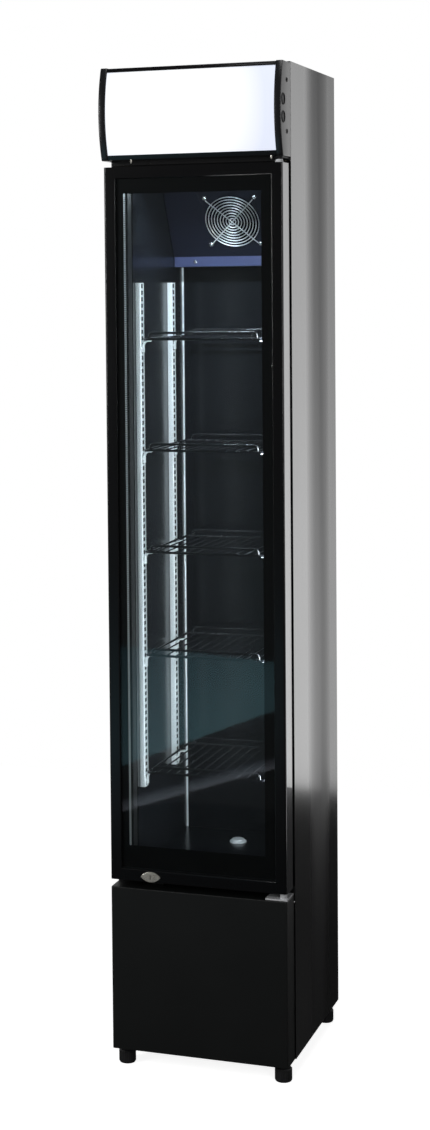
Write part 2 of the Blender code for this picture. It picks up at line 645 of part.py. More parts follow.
def build_seals(half, z_low, z_high, front):
    """Four lengths of glazing bead, each with the soft door seal along its back."""
    bead_half = DOOR_HALF - BEAD_EDGE
    bead_low, bead_high = DOOR_BOTTOM + BEAD_EDGE, DOOR_TOP - BEAD_EDGE
    seal_out = DOOR_HALF - GASKET_EDGE
    seal_in = seal_out - GASKET_WIDTH
    seal_low, seal_high = DOOR_BOTTOM + GASKET_EDGE, DOOR_TOP - GASKET_EDGE
    sill_low = z_low + FIT
    back = BODY_FRONT - FIT
    root = DOOR_BACK - GASKET_ROOT
    pieces = []
    for name, sign in (("door_seal_left", -1), ("door_seal_right", 1)):
        bead_xs = sorted((sign * bead_half, sign * half))
        seal_xs = sorted((sign * seal_in, sign * seal_out))
        bead = block(name, (bead_xs[0], front, z_low), (bead_xs[1], DOOR_BACK, z_high), RUBBER)
        fuse(bead, block(f"{name}_lip", (seal_xs[0], root, sill_low), (seal_xs[1], back, seal_high), RUBBER))
        pieces.append(bead)
    reach = bead_half - FIT
    for name, bead_zs, seal_zs in (
            ("door_seal_bottom", (z_low, bead_low), (sill_low, seal_low + GASKET_WIDTH)),
            ("door_seal_top", (bead_high, z_high), (seal_high - GASKET_WIDTH, seal_high))):
        bead = block(name, (-reach, front, bead_zs[0]), (reach, DOOR_BACK, bead_zs[1]), RUBBER)
        fuse(bead, block(f"{name}_lip", (-reach, root, seal_zs[0]), (reach, back, seal_zs[1]), RUBBER))
        pieces.append(bead)
    return pieces


def build_glazing():
    """The sealed double glass, and the bead and seal that hold it."""
    edge = DOOR_STILE + FIT
    low_edge = DOOR_LOW_RAIL + FIT
    half = DOOR_HALF - edge
    z_low, z_high = DOOR_BOTTOM + low_edge, DOOR_TOP - edge
    outer_front = DOOR_FRONT + DOOR_LIP_DEPTH + FIT
    outer_back = outer_front + GLASS_THICKNESS
    spacer_front = outer_back + FIT
    spacer_back = spacer_front + SPACER_DEPTH
    inner_front = spacer_back + FIT
    inner_back = inner_front + GLASS_THICKNESS
    return [
        block("outer_glass", (-half, outer_front, z_low), (half, outer_back, z_high), GLASS),
        frame_ring("glass_spacer", half, z_low, z_high, SPACER_EDGE - edge, SPACER_EDGE - low_edge,
                   SPACER_EDGE - edge, spacer_front, spacer_back, ALUMINIUM),
        block("inner_glass", (-half, inner_front, z_low), (half, inner_back, z_high), GLASS),
        *build_seals(half, z_low, z_high, inner_back + FIT),
    ]


def lens_outline(length, height, steps=10):
    """An eye shape: two equal arcs that meet in points at the ends."""
    half, sag = length / 2, height / 2
    radius = (half * half + sag * sag) / (2 * sag)
    reach = math.asin(half / radius)
    outline = []
    for side in (1, -1):
        for step in range(steps):
            angle = reach - 2 * reach * step / steps
            rise = radius * math.cos(angle) - radius + sag
            outline.append((side * radius * math.sin(angle), side * rise))
    return outline


def build_lock():
    face = DOOR_FRONT - FIT
    plate = prism("lock_escutcheon", lens_outline(LOCK_PLATE_LENGTH, LOCK_PLATE_HEIGHT),
                  lambda u, v: (LOCK_X + u, face, LOCK_Z + v), (0, -LOCK_PLATE_THICKNESS, 0), CHROME)
    to_front = Matrix.Rotation(math.pi / 2, 4, "X")
    plate_hole = rod("escutcheon_hole", LOCK_BARREL_RADIUS + FIT, -DOOR_THICKNESS, DOOR_THICKNESS, CHROME)
    plate_hole.matrix_world = Matrix.Translation((LOCK_X, face, LOCK_Z)) @ to_front
    cut(plate, plate_hole)
    head_back = LOCK_PLATE_THICKNESS + 2 * FIT
    cam_front = -(DOOR_THICKNESS + FIT)
    cam_back = cam_front - LOCK_CAM_THICKNESS
    profile = ((0, LOCK_HEAD_REACH), (LOCK_HEAD_RADIUS, LOCK_HEAD_REACH), (LOCK_HEAD_RADIUS, head_back),
               (LOCK_BARREL_RADIUS, head_back), (LOCK_BARREL_RADIUS, cam_back), (0, cam_back))
    cylinder = turned("lock_cylinder", profile, CHROME)
    cylinder.matrix_world = Matrix.Translation((LOCK_X, DOOR_FRONT, LOCK_Z)) @ to_front
    y_front = DOOR_FRONT - cam_front
    half = LOCK_CAM_WIDTH / 2
    cam = block("lock_cam", (LOCK_X - LOCK_CAM_LENGTH, y_front, LOCK_Z - half),
                (LOCK_X, y_front + LOCK_CAM_THICKNESS - FIT, LOCK_Z + half), CHROME)
    fuse(cylinder, cam)
    slot_half = LOCK_HEAD_RADIUS * 0.6
    key_slot = block("key_slot", (LOCK_X - FIT * 3, DOOR_FRONT - 2 * LOCK_HEAD_REACH, LOCK_Z - slot_half),
                     (LOCK_X + FIT * 3, DOOR_FRONT, LOCK_Z + slot_half), CHROME)
    cut(cylinder, key_slot)
    return plate, cylinder


def build_hinges():
    washer = HINGE_WASHER_RADIUS
    plate_low = CANOPY_BOTTOM - FIT - HINGE_PLATE
    back = BODY_FRONT - FIT
    top = block("top_hinge", (HINGE_X - HINGE_HALF_WIDTH, HINGE_Y - HINGE_HALF_WIDTH, plate_low),
                (HINGE_X + HINGE_HALF_WIDTH, back, plate_low + HINGE_PLATE), CHROME)
    pin_end = DOOR_TOP - HINGE_PIN_REACH
    pin = turned("top_hinge_pin", ((0, plate_low + HINGE_PLATE / 2), (washer, plate_low + HINGE_PLATE / 2),
                                   (washer, DOOR_TOP + FIT), (HINGE_PIN_RADIUS, DOOR_TOP + FIT),
                                   (HINGE_PIN_RADIUS, pin_end), (0, pin_end)), CHROME)
    pin.location = (HINGE_X, HINGE_Y, 0)
    fuse(top, pin)
    plate_low = KICK_TOP + FIT
    low = block("bottom_hinge", (HINGE_X - LOW_HINGE_ARM, HINGE_Y - HINGE_HALF_WIDTH, plate_low),
                (HINGE_X + HINGE_HALF_WIDTH, back, plate_low + HINGE_PLATE), CHROME)
    pin_end = DOOR_BOTTOM + HINGE_PIN_REACH
    pin = turned("low_hinge_pin", ((0, pin_end), (HINGE_PIN_RADIUS, pin_end),
                                   (HINGE_PIN_RADIUS, DOOR_BOTTOM - FIT), (washer, DOOR_BOTTOM - FIT),
                                   (washer, plate_low + HINGE_PLATE / 2), (0, plate_low + HINGE_PLATE / 2)),
                 CHROME)
    pin.location = (HINGE_X, HINGE_Y, 0)
    fuse(low, pin)


def build_door():
    door_pivot = pivot("door_pivot", (HINGE_X, HINGE_Y, DOOR_BOTTOM))
    plate, cylinder = build_lock()
    carry(door_pivot, build_door_frame(), *build_glazing(), plate)
    lock_pivot = pivot("lock_pivot", (LOCK_X, DOOR_FRONT, LOCK_Z))
    carry(lock_pivot, cylinder)
    carry(door_pivot, lock_pivot)


# Cooler at the top of the cabinet

SLOPE = math.radians(FAN_COVER_SLOPE)
LIP_Y = INNER_BACK - FAN_COVER_LIP_GAP
LIP_TOP = CEILING - FAN_COVER_DROP + FAN_COVER_LIP + FIT
FAN_Y = LIP_Y - FAN_CENTRE_UP * math.sin(SLOPE)
FAN_Z = LIP_TOP + FAN_CENTRE_UP * math.cos(SLOPE)
FAN_FRAME = Matrix.Translation((0, FAN_Y, FAN_Z)) @ Matrix.Rotation(math.pi / 2 + SLOPE, 4, "X")


def on_cover(along, depth):
    """A (y, z) point measured up the sloping cover from its lip and out from its front face."""
    return (LIP_Y - along * math.sin(SLOPE) - depth * math.cos(SLOPE),
            LIP_TOP + along * math.cos(SLOPE) - depth * math.sin(SLOPE))


def build_fan_cover():
    sheet = FAN_COVER_SHEET
    high = CEILING - FIT
    rise = high - LIP_TOP
    top_y = LIP_Y - rise * math.tan(SLOPE)
    level = sheet / math.cos(SLOPE)
    bend = LIP_TOP + (level - sheet) / math.tan(SLOPE)
    lip_low = LIP_TOP - FAN_COVER_LIP
    back = INNER_BACK - FIT
    outline = ((top_y, high), (LIP_Y, LIP_TOP), (LIP_Y, lip_low), (back, lip_low), (back, lip_low + sheet),
               (LIP_Y + sheet, lip_low + sheet), (LIP_Y + sheet, bend), (top_y + level, high))
    half = INNER_HALF - FIT
    cover = prism("fan_cover", outline, across(-half), (2 * half, 0, 0), LINER_BLACK)
    hole = rod("fan_cover_hole", FAN_BORE_RADIUS, -FAN_DEPTH, FAN_DEPTH, LINER_BLACK)
    hole.matrix_world = FAN_FRAME
    cut(cover, hole)


def build_fan():
    """An axial fan whose local +Z points out of the cover, towards the shelves."""
    back = -FAN_COVER_SHEET - FIT
    deep = back - FAN_DEPTH
    half = FAN_SIZE / 2
    frame = block("fan_frame", (-half, -half, deep), (half, half, back), BLACK_PLASTIC)
    frame.matrix_world = FAN_FRAME
    bore = rod("fan_bore", FAN_BORE_RADIUS, deep - FAN_DEPTH, back + FAN_DEPTH, BLACK_PLASTIC)
    bore.matrix_world = FAN_FRAME
    cut(frame, bore)
    boss_top = deep + FAN_BOSS_DEPTH
    shaft_top = boss_top + FAN_DEPTH / 2
    boss = turned("fan_motor", ((0, shaft_top), (FAN_SHAFT_RADIUS, shaft_top), (FAN_SHAFT_RADIUS, boss_top),
                                (FAN_HUB_RADIUS, boss_top), (FAN_HUB_RADIUS, deep + FIT), (0, deep + FIT)),
                   BLACK_PLASTIC)
    boss.matrix_world = FAN_FRAME
    fuse(frame, boss)
    strut = FAN_BOSS_DEPTH / 2
    for index in range(2):
        arm = block(f"fan_strut_{index}", (-half + strut, -strut, deep + 2 * FIT),
                    (half - strut, strut, deep + strut), BLACK_PLASTIC)
        arm.matrix_world = FAN_FRAME @ Matrix.Rotation(index * math.pi / 2, 4, "Z")
        fuse(frame, arm)
    hub_low = boss_top + FIT
    hub_high = back - FIT
    bore_high = shaft_top + FIT
    bore_radius = FAN_SHAFT_RADIUS + FIT
    rotor = turned("fan_rotor", ((0, hub_high), (FAN_HUB_RADIUS, hub_high), (FAN_HUB_RADIUS, hub_low),
                                 (bore_radius, hub_low), (bore_radius, bore_high), (0, bore_high)),
                   BLACK_PLASTIC)
    rotor.matrix_world = FAN_FRAME
    blade_half = FAN_HUB_RADIUS * 0.75
    blade_thick = FAN_COVER_SHEET / 2
    blade_middle = (hub_low + hub_high) / 2
    blade_root = FAN_HUB_RADIUS - 2 * FAN_BOSS_DEPTH / 5
    pitch = math.radians(32)
    for index in range(FAN_BLADES):
        blade = block(f"fan_blade_{index}", (blade_root, -blade_half, -blade_thick),
                      (FAN_BLADE_RADIUS * 0.96, blade_half, blade_thick), BLACK_PLASTIC)
        blade.matrix_world = (FAN_FRAME @ Matrix.Rotation(index * math.tau / FAN_BLADES, 4, "Z")
                              @ Matrix.Translation((0, 0, blade_middle)) @ Matrix.Rotation(pitch, 4, "X"))
        fuse(rotor, blade)


def build_fan_guard():
    wire = GUARD_WIRE
    low = FIT + GUARD_STANDOFF
    outer = FAN_BORE_RADIUS
    step = (outer - GUARD_INNER_RADIUS) / (GUARD_RINGS - 1)
    corner = FAN_SCREW_PITCH / math.sqrt(2)
    guard = None
    for index in range(2):
        bar = block(f"guard_bar_{index}", (-corner, -wire / 2, low - wire * 0.6),
                    (corner, wire / 2, low + wire * 0.4), CHROME)
        bar.matrix_world = FAN_FRAME @ Matrix.Rotation(math.pi / 4 + index * math.pi / 2, 4, "Z")
        if guard is None:
            guard = bar
            guard.name = "fan_guard"
        else:
            fuse(guard, bar)
    for ring in range(GUARD_RINGS):
        radius = GUARD_INNER_RADIUS + ring * step
        inner = radius - wire
        section = ((inner, low + wire), (radius, low + wire), (radius, low), (inner, low))
        hoop = turned(f"guard_hoop_{ring}", section, CHROME)
        hoop.matrix_world = FAN_FRAME
        fuse(guard, hoop)
    for index in range(4):
        eye = rod(f"guard_eye_{index}", GUARD_EYE_RADIUS, FIT, low + wire * 0.2, CHROME, 12)
        turn = Matrix.Rotation(math.pi / 4 + index * math.pi / 2, 4, "Z")
        eye.matrix_world = FAN_FRAME @ turn @ Matrix.Translation((corner, 0, 0))
        fuse(guard, eye)


def build_evaporator():
    half = INNER_HALF - EVAPORATOR_MARGIN
    high = CEILING - FIT
    back = INNER_BACK - FIT
    fins = comb_outline(2 * half, EVAPORATOR_DEPTH, 14, EVAPORATOR_DEPTH * 0.5)
    prism("evaporator", fins, lambda u, v: (u - half, back - v, high), (0, 0, -EVAPORATOR_HEIGHT),
          COPPER_FINS)


def build_inside_lamp():
    front = FOAM_FRONT + LAMP_SETBACK
    high = HEADER_BOTTOM - FIT
    block("interior_lamp", (-LAMP_LENGTH / 2, front, high - LAMP_HEIGHT),
          (LAMP_LENGTH / 2, front + LAMP_WIDTH, high), LAMP_WHITE)


# Shelf rails and wire shelves

def pilaster_fronts():
    return {"front": BODY_FRONT + PILASTER_FRONT_SETBACK, "rear": INNER_BACK - PILASTER_REAR_INSET}


def build_pilasters():
    low = FLOOR_TOP + PILASTER_RISE
    sheet = PILASTER_SHEET
    depth, width = PILASTER_DEPTH, PILASTER_WIDTH
    channel = ((0, 0), (depth, 0), (depth, width), (0, width), (0, width - sheet),
               (depth - sheet, width - sheet), (depth - sheet, sheet), (0, sheet))
    for side, sign in (("left", -1), ("right", 1)):
        wall = sign * (INNER_HALF - FIT)
        for where, front in pilaster_fronts().items():
            prism(f"pilaster_{side}_{where}", channel, lambda u, v: (wall - sign * u, front + v, low),
                  (0, 0, PILASTER_LENGTH), ALUMINIUM)


def build_shelf(name, level):
    """A wire shelf with raised front and rear lips, and the four clips that hang it on the rails."""
    bar, wire = SHELF_BAR, SHELF_WIRE
    half = PILASTER_FACE - SHELF_SIDE_GAP
    front = FOAM_FRONT + SHELF_FRONT_SETBACK
    back = INNER_BACK - SHELF_REAR_GAP
    low = FLOOR_TOP + level
    gap = (2 * half - 2 * bar - SHELF_WIRES * wire) / (SHELF_WIRES + 1)
    us = [-half, -half + bar]
    for index in range(SHELF_WIRES):
        start = us[-1] + gap
        us += [start, start + wire]
    us += [half - bar, half]
    vs = (front, front + bar, back - bar, back)
    shelf = windowed_plate(name, us, vs, lambda i, j: j == 1 and i % 2 == 1,
                           lambda u, v: (u, v, low), (0, 0, bar), BLACK_STEEL)
    lip_half = half - SHELF_LIP_INSET
    lift = low + bar / 2
    for where, y in (("front", front), ("rear", back - bar)):
        lip_us = (-lip_half, -lip_half + bar, lip_half - bar, lip_half)
        lip_vs = (lift, low + SHELF_LIP_HEIGHT - bar, low + SHELF_LIP_HEIGHT)
        inset = bar / 10
        lip = windowed_plate(f"{name}_{where}_lip", lip_us, lip_vs, lambda i, j: i == 1 and j == 0,
                             lambda u, v: (u, y + inset, v), (0, bar - 2 * inset, 0), BLACK_STEEL)
        fuse(shelf, lip)
    for side, sign in (("left", -1), ("right", 1)):
        xs = sorted((sign * (PILASTER_FACE - FIT), sign * (PILASTER_FACE - CLIP_REACH)))
        for where, y in pilaster_fronts().items():
            middle = y + PILASTER_WIDTH / 2
            clip_front, clip_back = middle - CLIP_WIDTH / 2, middle + CLIP_WIDTH / 2
            clip = block(f"{name}_clip_{side}_{where}", (xs[0], clip_front, low - CLIP_THICKNESS),
                         (xs[1], clip_back, lift), ALUMINIUM)
            fuse(shelf, clip)


def build_shelves():
    levels = (SHELF_1_RISE, SHELF_2_RISE, SHELF_3_RISE, SHELF_4_RISE, SHELF_5_RISE)
    for index, level in enumerate(levels):
        build_shelf(f"shelf_{index + 1}", level)


build_case()
build_foam()
build_liner()
build_base()
build_kick_panel()
build_machine()
build_rear_grille()
build_canopy()
build_switches()
build_hinges()
build_door()
build_fan_cover()
build_fan()
build_fan_guard()
build_evaporator()
build_inside_lamp()
build_pilasters()
build_shelves()
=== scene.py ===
# %% [markdown]
# # A tall slim glass door merchandiser
#
# The cabinet is already here as exact solids, one for each sheet, pane, hinge and shelf. This lesson
# dresses them: it rounds the edges that catch the light, draws the wires round instead of square, and gives
# each surface a finish. Everything is in metres, +Z is up, and the glass door faces -Y.

import json
import math

import bmesh
import bpy
from mathutils import Matrix, Vector


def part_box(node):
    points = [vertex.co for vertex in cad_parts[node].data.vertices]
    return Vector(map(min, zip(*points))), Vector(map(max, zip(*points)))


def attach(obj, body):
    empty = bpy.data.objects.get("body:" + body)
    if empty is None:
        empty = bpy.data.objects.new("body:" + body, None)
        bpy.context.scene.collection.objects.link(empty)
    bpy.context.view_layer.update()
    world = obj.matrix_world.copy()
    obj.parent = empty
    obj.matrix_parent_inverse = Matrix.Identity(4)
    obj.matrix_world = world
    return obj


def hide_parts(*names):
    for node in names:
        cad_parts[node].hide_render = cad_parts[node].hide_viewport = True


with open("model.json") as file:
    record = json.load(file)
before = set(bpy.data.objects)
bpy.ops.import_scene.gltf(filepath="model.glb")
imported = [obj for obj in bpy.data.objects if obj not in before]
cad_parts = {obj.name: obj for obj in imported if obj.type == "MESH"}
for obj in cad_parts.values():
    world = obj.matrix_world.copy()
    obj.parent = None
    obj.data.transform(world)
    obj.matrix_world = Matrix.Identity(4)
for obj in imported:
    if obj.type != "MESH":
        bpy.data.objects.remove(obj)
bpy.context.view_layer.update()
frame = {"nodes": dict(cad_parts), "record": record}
SOLIDS = frame["nodes"]

# %% [markdown]
# ## The camera
#
# A camera can be guessed by eye, or worked out from corners whose real places are known. The second way was
# used: the lens sits to the right of the cabinet at head height and looks a little down. The picture's frame
# is pushed down and to the right of the lens axis, which Blender calls shift, so that the upright edges stay
# nearly upright.

# %% Camera
PICTURE_WIDE, PICTURE_TALL, SENSOR_WIDE = 430, 1130, 36.0
EYE = Vector((1.1659, -3.9381, 1.5293))
YAW, PITCH, ROLL = 0.3472, 0.0523, -0.0108
FOCAL_PIXELS = 2060.26
AXIS_X, AXIS_Y = 100.0, 395.66

forward = Vector((-math.sin(YAW) * math.cos(PITCH), math.cos(YAW) * math.cos(PITCH), -math.sin(PITCH)))
level = Vector((math.cos(YAW), math.sin(YAW), 0))
above = level.cross(forward)
side = level * math.cos(ROLL) + above * math.sin(ROLL)
top = above * math.cos(ROLL) - level * math.sin(ROLL)
lens = bpy.data.cameras.new("camera")
lens.sensor_width = SENSOR_WIDE
lens.lens = FOCAL_PIXELS * SENSOR_WIDE / PICTURE_TALL
lens.shift_x = (PICTURE_WIDE / 2 - AXIS_X) / PICTURE_TALL
lens.shift_y = (AXIS_Y - PICTURE_TALL / 2) / PICTURE_TALL
camera = bpy.data.objects.new("camera", lens)
bpy.context.scene.collection.objects.link(camera)
turned = Matrix((side, top, -forward)).transposed().to_4x4()
camera.matrix_world = Matrix.Translation(EYE) @ turned
bpy.context.scene.camera = camera
print("lens:", round(lens.lens, 2), "mm")

# %% [markdown]
# ## A small language for finishes
#
# Node trees are quick to draw by hand and slow to read in a script. Here a socket is wrapped in a small
# class, so that ordinary sums such as `1 - mask` add the Math nodes, and every other node comes from one
# method.


# %% Sockets that can be added and multiplied
class Value:
    """One output of a node, which ordinary arithmetic joins to others."""

    def __init__(self, finish, socket):
        self.finish = finish
        self.socket = socket

    def sum(self, operation, first, second):
        return self.finish.node("ShaderNodeMath", {"operation": operation}, {0: first, 1: second})

    def __add__(self, other):
        return self.sum("ADD", self, other)

    def __radd__(self, other):
        return self.sum("ADD", other, self)

    def __sub__(self, other):
        return self.sum("SUBTRACT", self, other)

    def __rsub__(self, other):
        return self.sum("SUBTRACT", other, self)

    def __mul__(self, other):
        return self.sum("MULTIPLY", self, other)

    def __rmul__(self, other):
        return self.sum("MULTIPLY", other, self)

    def __gt__(self, other):
        return self.sum("GREATER_THAN", self, other)

    def __lt__(self, other):
        return self.sum("LESS_THAN", self, other)

    def __mod__(self, other):
        return self.sum("MODULO", self, other)

    def least(self, low):
        return self.sum("MAXIMUM", self, low)

    def most(self, high):
        return self.sum("MINIMUM", self, high)

    def __abs__(self):
        return self.finish.node("ShaderNodeMath", {"operation": "ABSOLUTE"}, {0: self})


print("sockets can be added and multiplied")

# %% Finishes
FINISHES = {}
CLOUD_SCALE, CLOUD_DETAIL, RELIEF_DEPTH = 7.0, 4.0, 0.0002


class Finish:
    """A material whose nodes are added in code."""

    def __init__(self, name):
        self.material = bpy.data.materials.new(name)
        self.material.use_nodes = True
        self.tree = self.material.node_tree
        self.shader = self.tree.nodes["Principled BSDF"]
        self.output = self.tree.nodes["Material Output"]
        FINISHES[name] = self.material

    def node(self, kind, settings=None, sockets=None, out=0):
        made = self.tree.nodes.new(kind)
        for name, setting in (settings or {}).items():
            setattr(made, name, setting)
        for name, value in (sockets or {}).items():
            self.plug(made.inputs[name], value)
        return Value(self, made.outputs[out])

    def plug(self, socket, value):
        if isinstance(value, Value):
            self.tree.links.new(value.socket, socket)
        else:
            socket.default_value = value

    def surface(self, sockets):
        for name, value in sockets.items():
            self.plug(self.shader.inputs[name], value)

    def show(self, shader):
        """Puts another shader on the surface, in place of the usual one."""
        self.plug(self.output.inputs["Surface"], shader)

    def place(self):
        """Where a point lies on the object, in metres."""
        return self.node("ShaderNodeTexCoord", out="Object")

    def along(self, axis):
        return self.node("ShaderNodeSeparateXYZ", sockets={0: self.place()}, out=axis)

    def noise(self, scale, detail=2.0, stretch=(1, 1, 1)):
        """Soft random values about one half, finer for a higher scale."""
        spread = self.node("ShaderNodeMapping", sockets={"Vector": self.place(), "Scale": stretch})
        return self.node("ShaderNodeTexNoise", sockets={"Vector": spread, "Scale": scale, "Detail": detail})

    def tint(self, factor, first, second):
        """A colour between two, by a factor. Each of the two is a colour or another tint."""
        ends = [end if isinstance(end, Value) else (*end, 1.0) for end in (first, second)]
        return self.node("ShaderNodeMix", {"data_type": "RGBA"}, {0: factor, 6: ends[0], 7: ends[1]}, out=2)

    def relief(self, height, strength):
        return self.node("ShaderNodeBump",
                         sockets={"Height": height, "Strength": strength, "Distance": RELIEF_DEPTH})


def coat(name, dark, light, rough, rough_spread, grain, relief, sockets=None, stretch=(1, 1, 1)):
    """An opaque finish whose tone, gloss and relief all wander a little, as paint and moulded plastic do."""
    finish = Finish(name)
    cloud = finish.noise(CLOUD_SCALE, CLOUD_DETAIL, stretch)
    fine = finish.noise(grain, stretch=stretch)
    finish.surface({
        "Base Color": finish.tint(cloud, dark, light),
        "Roughness": rough + (cloud - 0.5) * rough_spread + (fine - 0.5) * rough_spread,
        "Normal": finish.relief(fine, relief),
        **(sockets or {}),
    })
    return finish


print("finishes can be mixed")

# %% [markdown]
# ## Dark finishes
#
# Almost all of the cabinet is black, so what tells its parts apart is gloss. The case is satin sheet under a
# clear coat, the liner is a little bluer, the shelves are dipped in a glossy coat, and the seals are matt.
# The side sheet shows soft upright bands. Painted bands would not answer to the light, so the clear coat's
# weight and the roughness change along Y instead, and a noise stretched along Z unsettles them. Four finishes
# change by place: the door's hinge edge is polished, the end caps have a clear coat on their flanks, the
# collar of the top hinge is white, and the lip of the cooler's cover is painted lighter and bluer, which is
# painted light from the lamp above it.

# %% Case, door and end caps
BAND_MIDDLE, BAND_HALF = 0.060, 0.095
sheet = coat("black_steel", (0.004, 0.004, 0.005), (0.007, 0.007, 0.008), 0.22, 0.05, 900.0, 0.05,
             {"Coat Roughness": 0.14, "Coat IOR": 1.55})
reach = (sheet.along("Y") - BAND_MIDDLE) * (1 / BAND_HALF)
band = (1.0 - reach * reach).least(0.0) * (0.62 + sheet.along("Z") * 0.20)
rear = reach.least(0.0).most(1.0)
wander = sheet.noise(2.5, 2.0, (6, 6, 0.5)) - 0.5
sheet.surface({"Coat Weight": (1.0 - band * 0.9 - rear * 0.85 + wander * 0.4).least(0.0).most(1.0),
               "Roughness": 0.20 + band * 0.28 + wander * 0.10})
coat("kick_black", (0.0040, 0.0048, 0.0048), (0.0060, 0.0068, 0.0068), 0.46, 0.06, 1500.0, 0.06,
     {"Specular IOR Level": 0.40})
coat("black_plastic", (0.0016, 0.0017, 0.0022), (0.0026, 0.0027, 0.0032), 0.20, 0.05, 700.0, 0.03,
     {"Specular IOR Level": 0.40})
EDGE_SKIN, FLANK_SKIN = 0.0007, 0.0012
edging = coat("door_black", (0.0016, 0.0017, 0.0022), (0.0026, 0.0027, 0.0032), 0.20, 0.05, 700.0, 0.03,
              {"Specular IOR Level": 0.40, "Coat Roughness": 0.04, "Coat IOR": 1.9})
outer_edge = edging.along("X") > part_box("door_frame")[1][0] - EDGE_SKIN
edging.surface({"Base Color": edging.tint(outer_edge, (0.0020, 0.0021, 0.0026), (0.12, 0.12, 0.13)),
                "Metallic": outer_edge * 0.7,
                "Coat Weight": outer_edge})
moulding = coat("cap_plastic", (0.006, 0.006, 0.007), (0.010, 0.010, 0.011), 0.38, 0.06, 2600.0, 0.10,
                {"Coat Roughness": 0.32})
flank = abs(moulding.along("X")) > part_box("canopy_cap_right")[1][0] - FLANK_SKIN
moulding.surface({"Coat Weight": flank * 0.65, "Roughness": 0.24 + flank * 0.14})
print("outside finishes:", len(FINISHES))

# %% Print, fan, switches, hinge, liner, shelves and seals
coat("print_black", (0.0010, 0.0010, 0.0013), (0.0018, 0.0018, 0.0022), 0.35, 0.04, 1200.0, 0.02,
     {"Specular IOR Level": 0.10})
coat("rotor_black", (0.004, 0.005, 0.010), (0.006, 0.007, 0.015), 0.70, 0.06, 900.0, 0.04,
     {"Specular IOR Level": 0.02})
coat("switch_black", (0.003, 0.003, 0.004), (0.006, 0.006, 0.007), 0.40, 0.05, 900.0, 0.03,
     {"Specular IOR Level": 0.25})
COLLAR_TOP, LIP_TOP_Z = 1.7662, 1.5912
hinge = coat("hinge_black", (0.003, 0.003, 0.004), (0.006, 0.006, 0.007), 0.45, 0.06, 900.0, 0.04,
             {"Specular IOR Level": 0.30})
collar = hinge.along("Z") < COLLAR_TOP
hinge.surface({"Base Color": hinge.tint(collar, (0.004, 0.004, 0.005), (0.88, 0.90, 0.92))})
coat("compressor_black", (0.010, 0.010, 0.011), (0.020, 0.020, 0.021), 0.34, 0.08, 500.0, 0.06)
coat("liner_black", (0.0055, 0.0062, 0.0080), (0.0085, 0.0095, 0.0120), 0.24, 0.06, 1100.0, 0.04,
     {"Specular IOR Level": 0.35})
cooler = coat("fan_panel", (0.006, 0.007, 0.014), (0.009, 0.010, 0.019), 0.40, 0.06, 1100.0, 0.05,
              {"Specular IOR Level": 0.30})
# The lip is painted lighter and bluer than the slope: painted light, standing for the lamp's glow on it.
lip = cooler.along("Z") < LIP_TOP_Z
slope_tint = cooler.tint(cooler.noise(7.0), (0.006, 0.007, 0.014), (0.010, 0.011, 0.022))
lip_painted_light = cooler.tint(cooler.noise(9.0), (0.050, 0.060, 0.135), (0.066, 0.076, 0.160))
cooler.surface({"Base Color": cooler.tint(lip, slope_tint, lip_painted_light)})
coat("shelf_black", (0.008, 0.008, 0.010), (0.014, 0.014, 0.017), 0.16, 0.05, 600.0, 0.05,
     {"Coat Weight": 0.8, "Coat Roughness": 0.06})
coat("rubber", (0.008, 0.008, 0.009), (0.016, 0.016, 0.017), 0.62, 0.10, 1400.0, 0.18)
coat("foam", (0.66, 0.58, 0.36), (0.78, 0.71, 0.48), 0.85, 0.10, 260.0, 0.45)
print("finishes with the inside ones:", len(FINISHES))

# %% [markdown]
# ## Bright finishes
#
# Chrome, rolled aluminium and fin stock are metals: their colour is the colour of their reflections. A real
# metal is never even, so the roughness wanders, and rolled sections carry fine lines along their length. The
# spacer between the panes has a row of small holes. Cut holes would cost thousands of faces, so they are
# drawn by the remainder of the height and painted dark, as painted shade inside each hole.

# %% Metals and white plastic
coat("chrome", (0.84, 0.84, 0.86), (0.92, 0.92, 0.94), 0.08, 0.05, 500.0, 0.02, {"Metallic": 0.85})
coat("plated_wire", (0.90, 0.90, 0.92), (0.96, 0.96, 0.98), 0.30, 0.05, 500.0, 0.02, {"Metallic": 0.70})
coat("nickel", (0.50, 0.48, 0.43), (0.70, 0.67, 0.60), 0.28, 0.12, 900.0, 0.10, {"Metallic": 0.55})
coat("aluminium", (0.80, 0.81, 0.83), (0.90, 0.91, 0.93), 0.36, 0.10, 320.0, 0.06, {"Metallic": 0.35},
     stretch=(6, 6, 0.2))
coat("zinc_plate", (0.80, 0.81, 0.84), (0.93, 0.94, 0.96), 0.20, 0.12, 700.0, 0.08, {"Metallic": 0.25})
coat("coil_fins", (0.50, 0.50, 0.52), (0.66, 0.66, 0.68), 0.42, 0.12, 400.0, 0.20, {"Metallic": 1.0})
coat("screw_dark", (0.004, 0.004, 0.005), (0.008, 0.008, 0.009), 0.50, 0.10, 900.0, 0.10,
     {"Specular IOR Level": 0.20})
coat("white_plastic", (0.84, 0.86, 0.88), (0.90, 0.92, 0.94), 0.36, 0.08, 700.0, 0.05)

HOLE_PITCH, HOLE_HALF = 0.0042, 0.22
spacer = Finish("spacer_aluminium")
# Each hole is painted dark: painted shade where a hole would be.
hole = abs(spacer.along("Z") % HOLE_PITCH - HOLE_PITCH / 2) < HOLE_PITCH * HOLE_HALF
spacer.surface({
    "Base Color": spacer.tint(hole, (0.80, 0.81, 0.83), (0.05, 0.05, 0.05)),
    "Roughness": 0.38 + (spacer.noise(500.0) - 0.5) * 0.1,
    "Metallic": 0.10 - hole * 0.1,
})
print("all finishes so far:", len(FINISHES))

# %% [markdown]
# ## Lit finishes and glass
#
# The sign and the lamp bar glow. A lit sheet is brightest near its lamp and falls off to its edges, so the
# glow's colour follows the distance from the middle. Window glass is clear and mirrors a little, more at a
# low angle: a mix of a transparent and a mirror shader by Fresnel does that, lets light through, and costs
# little to render.

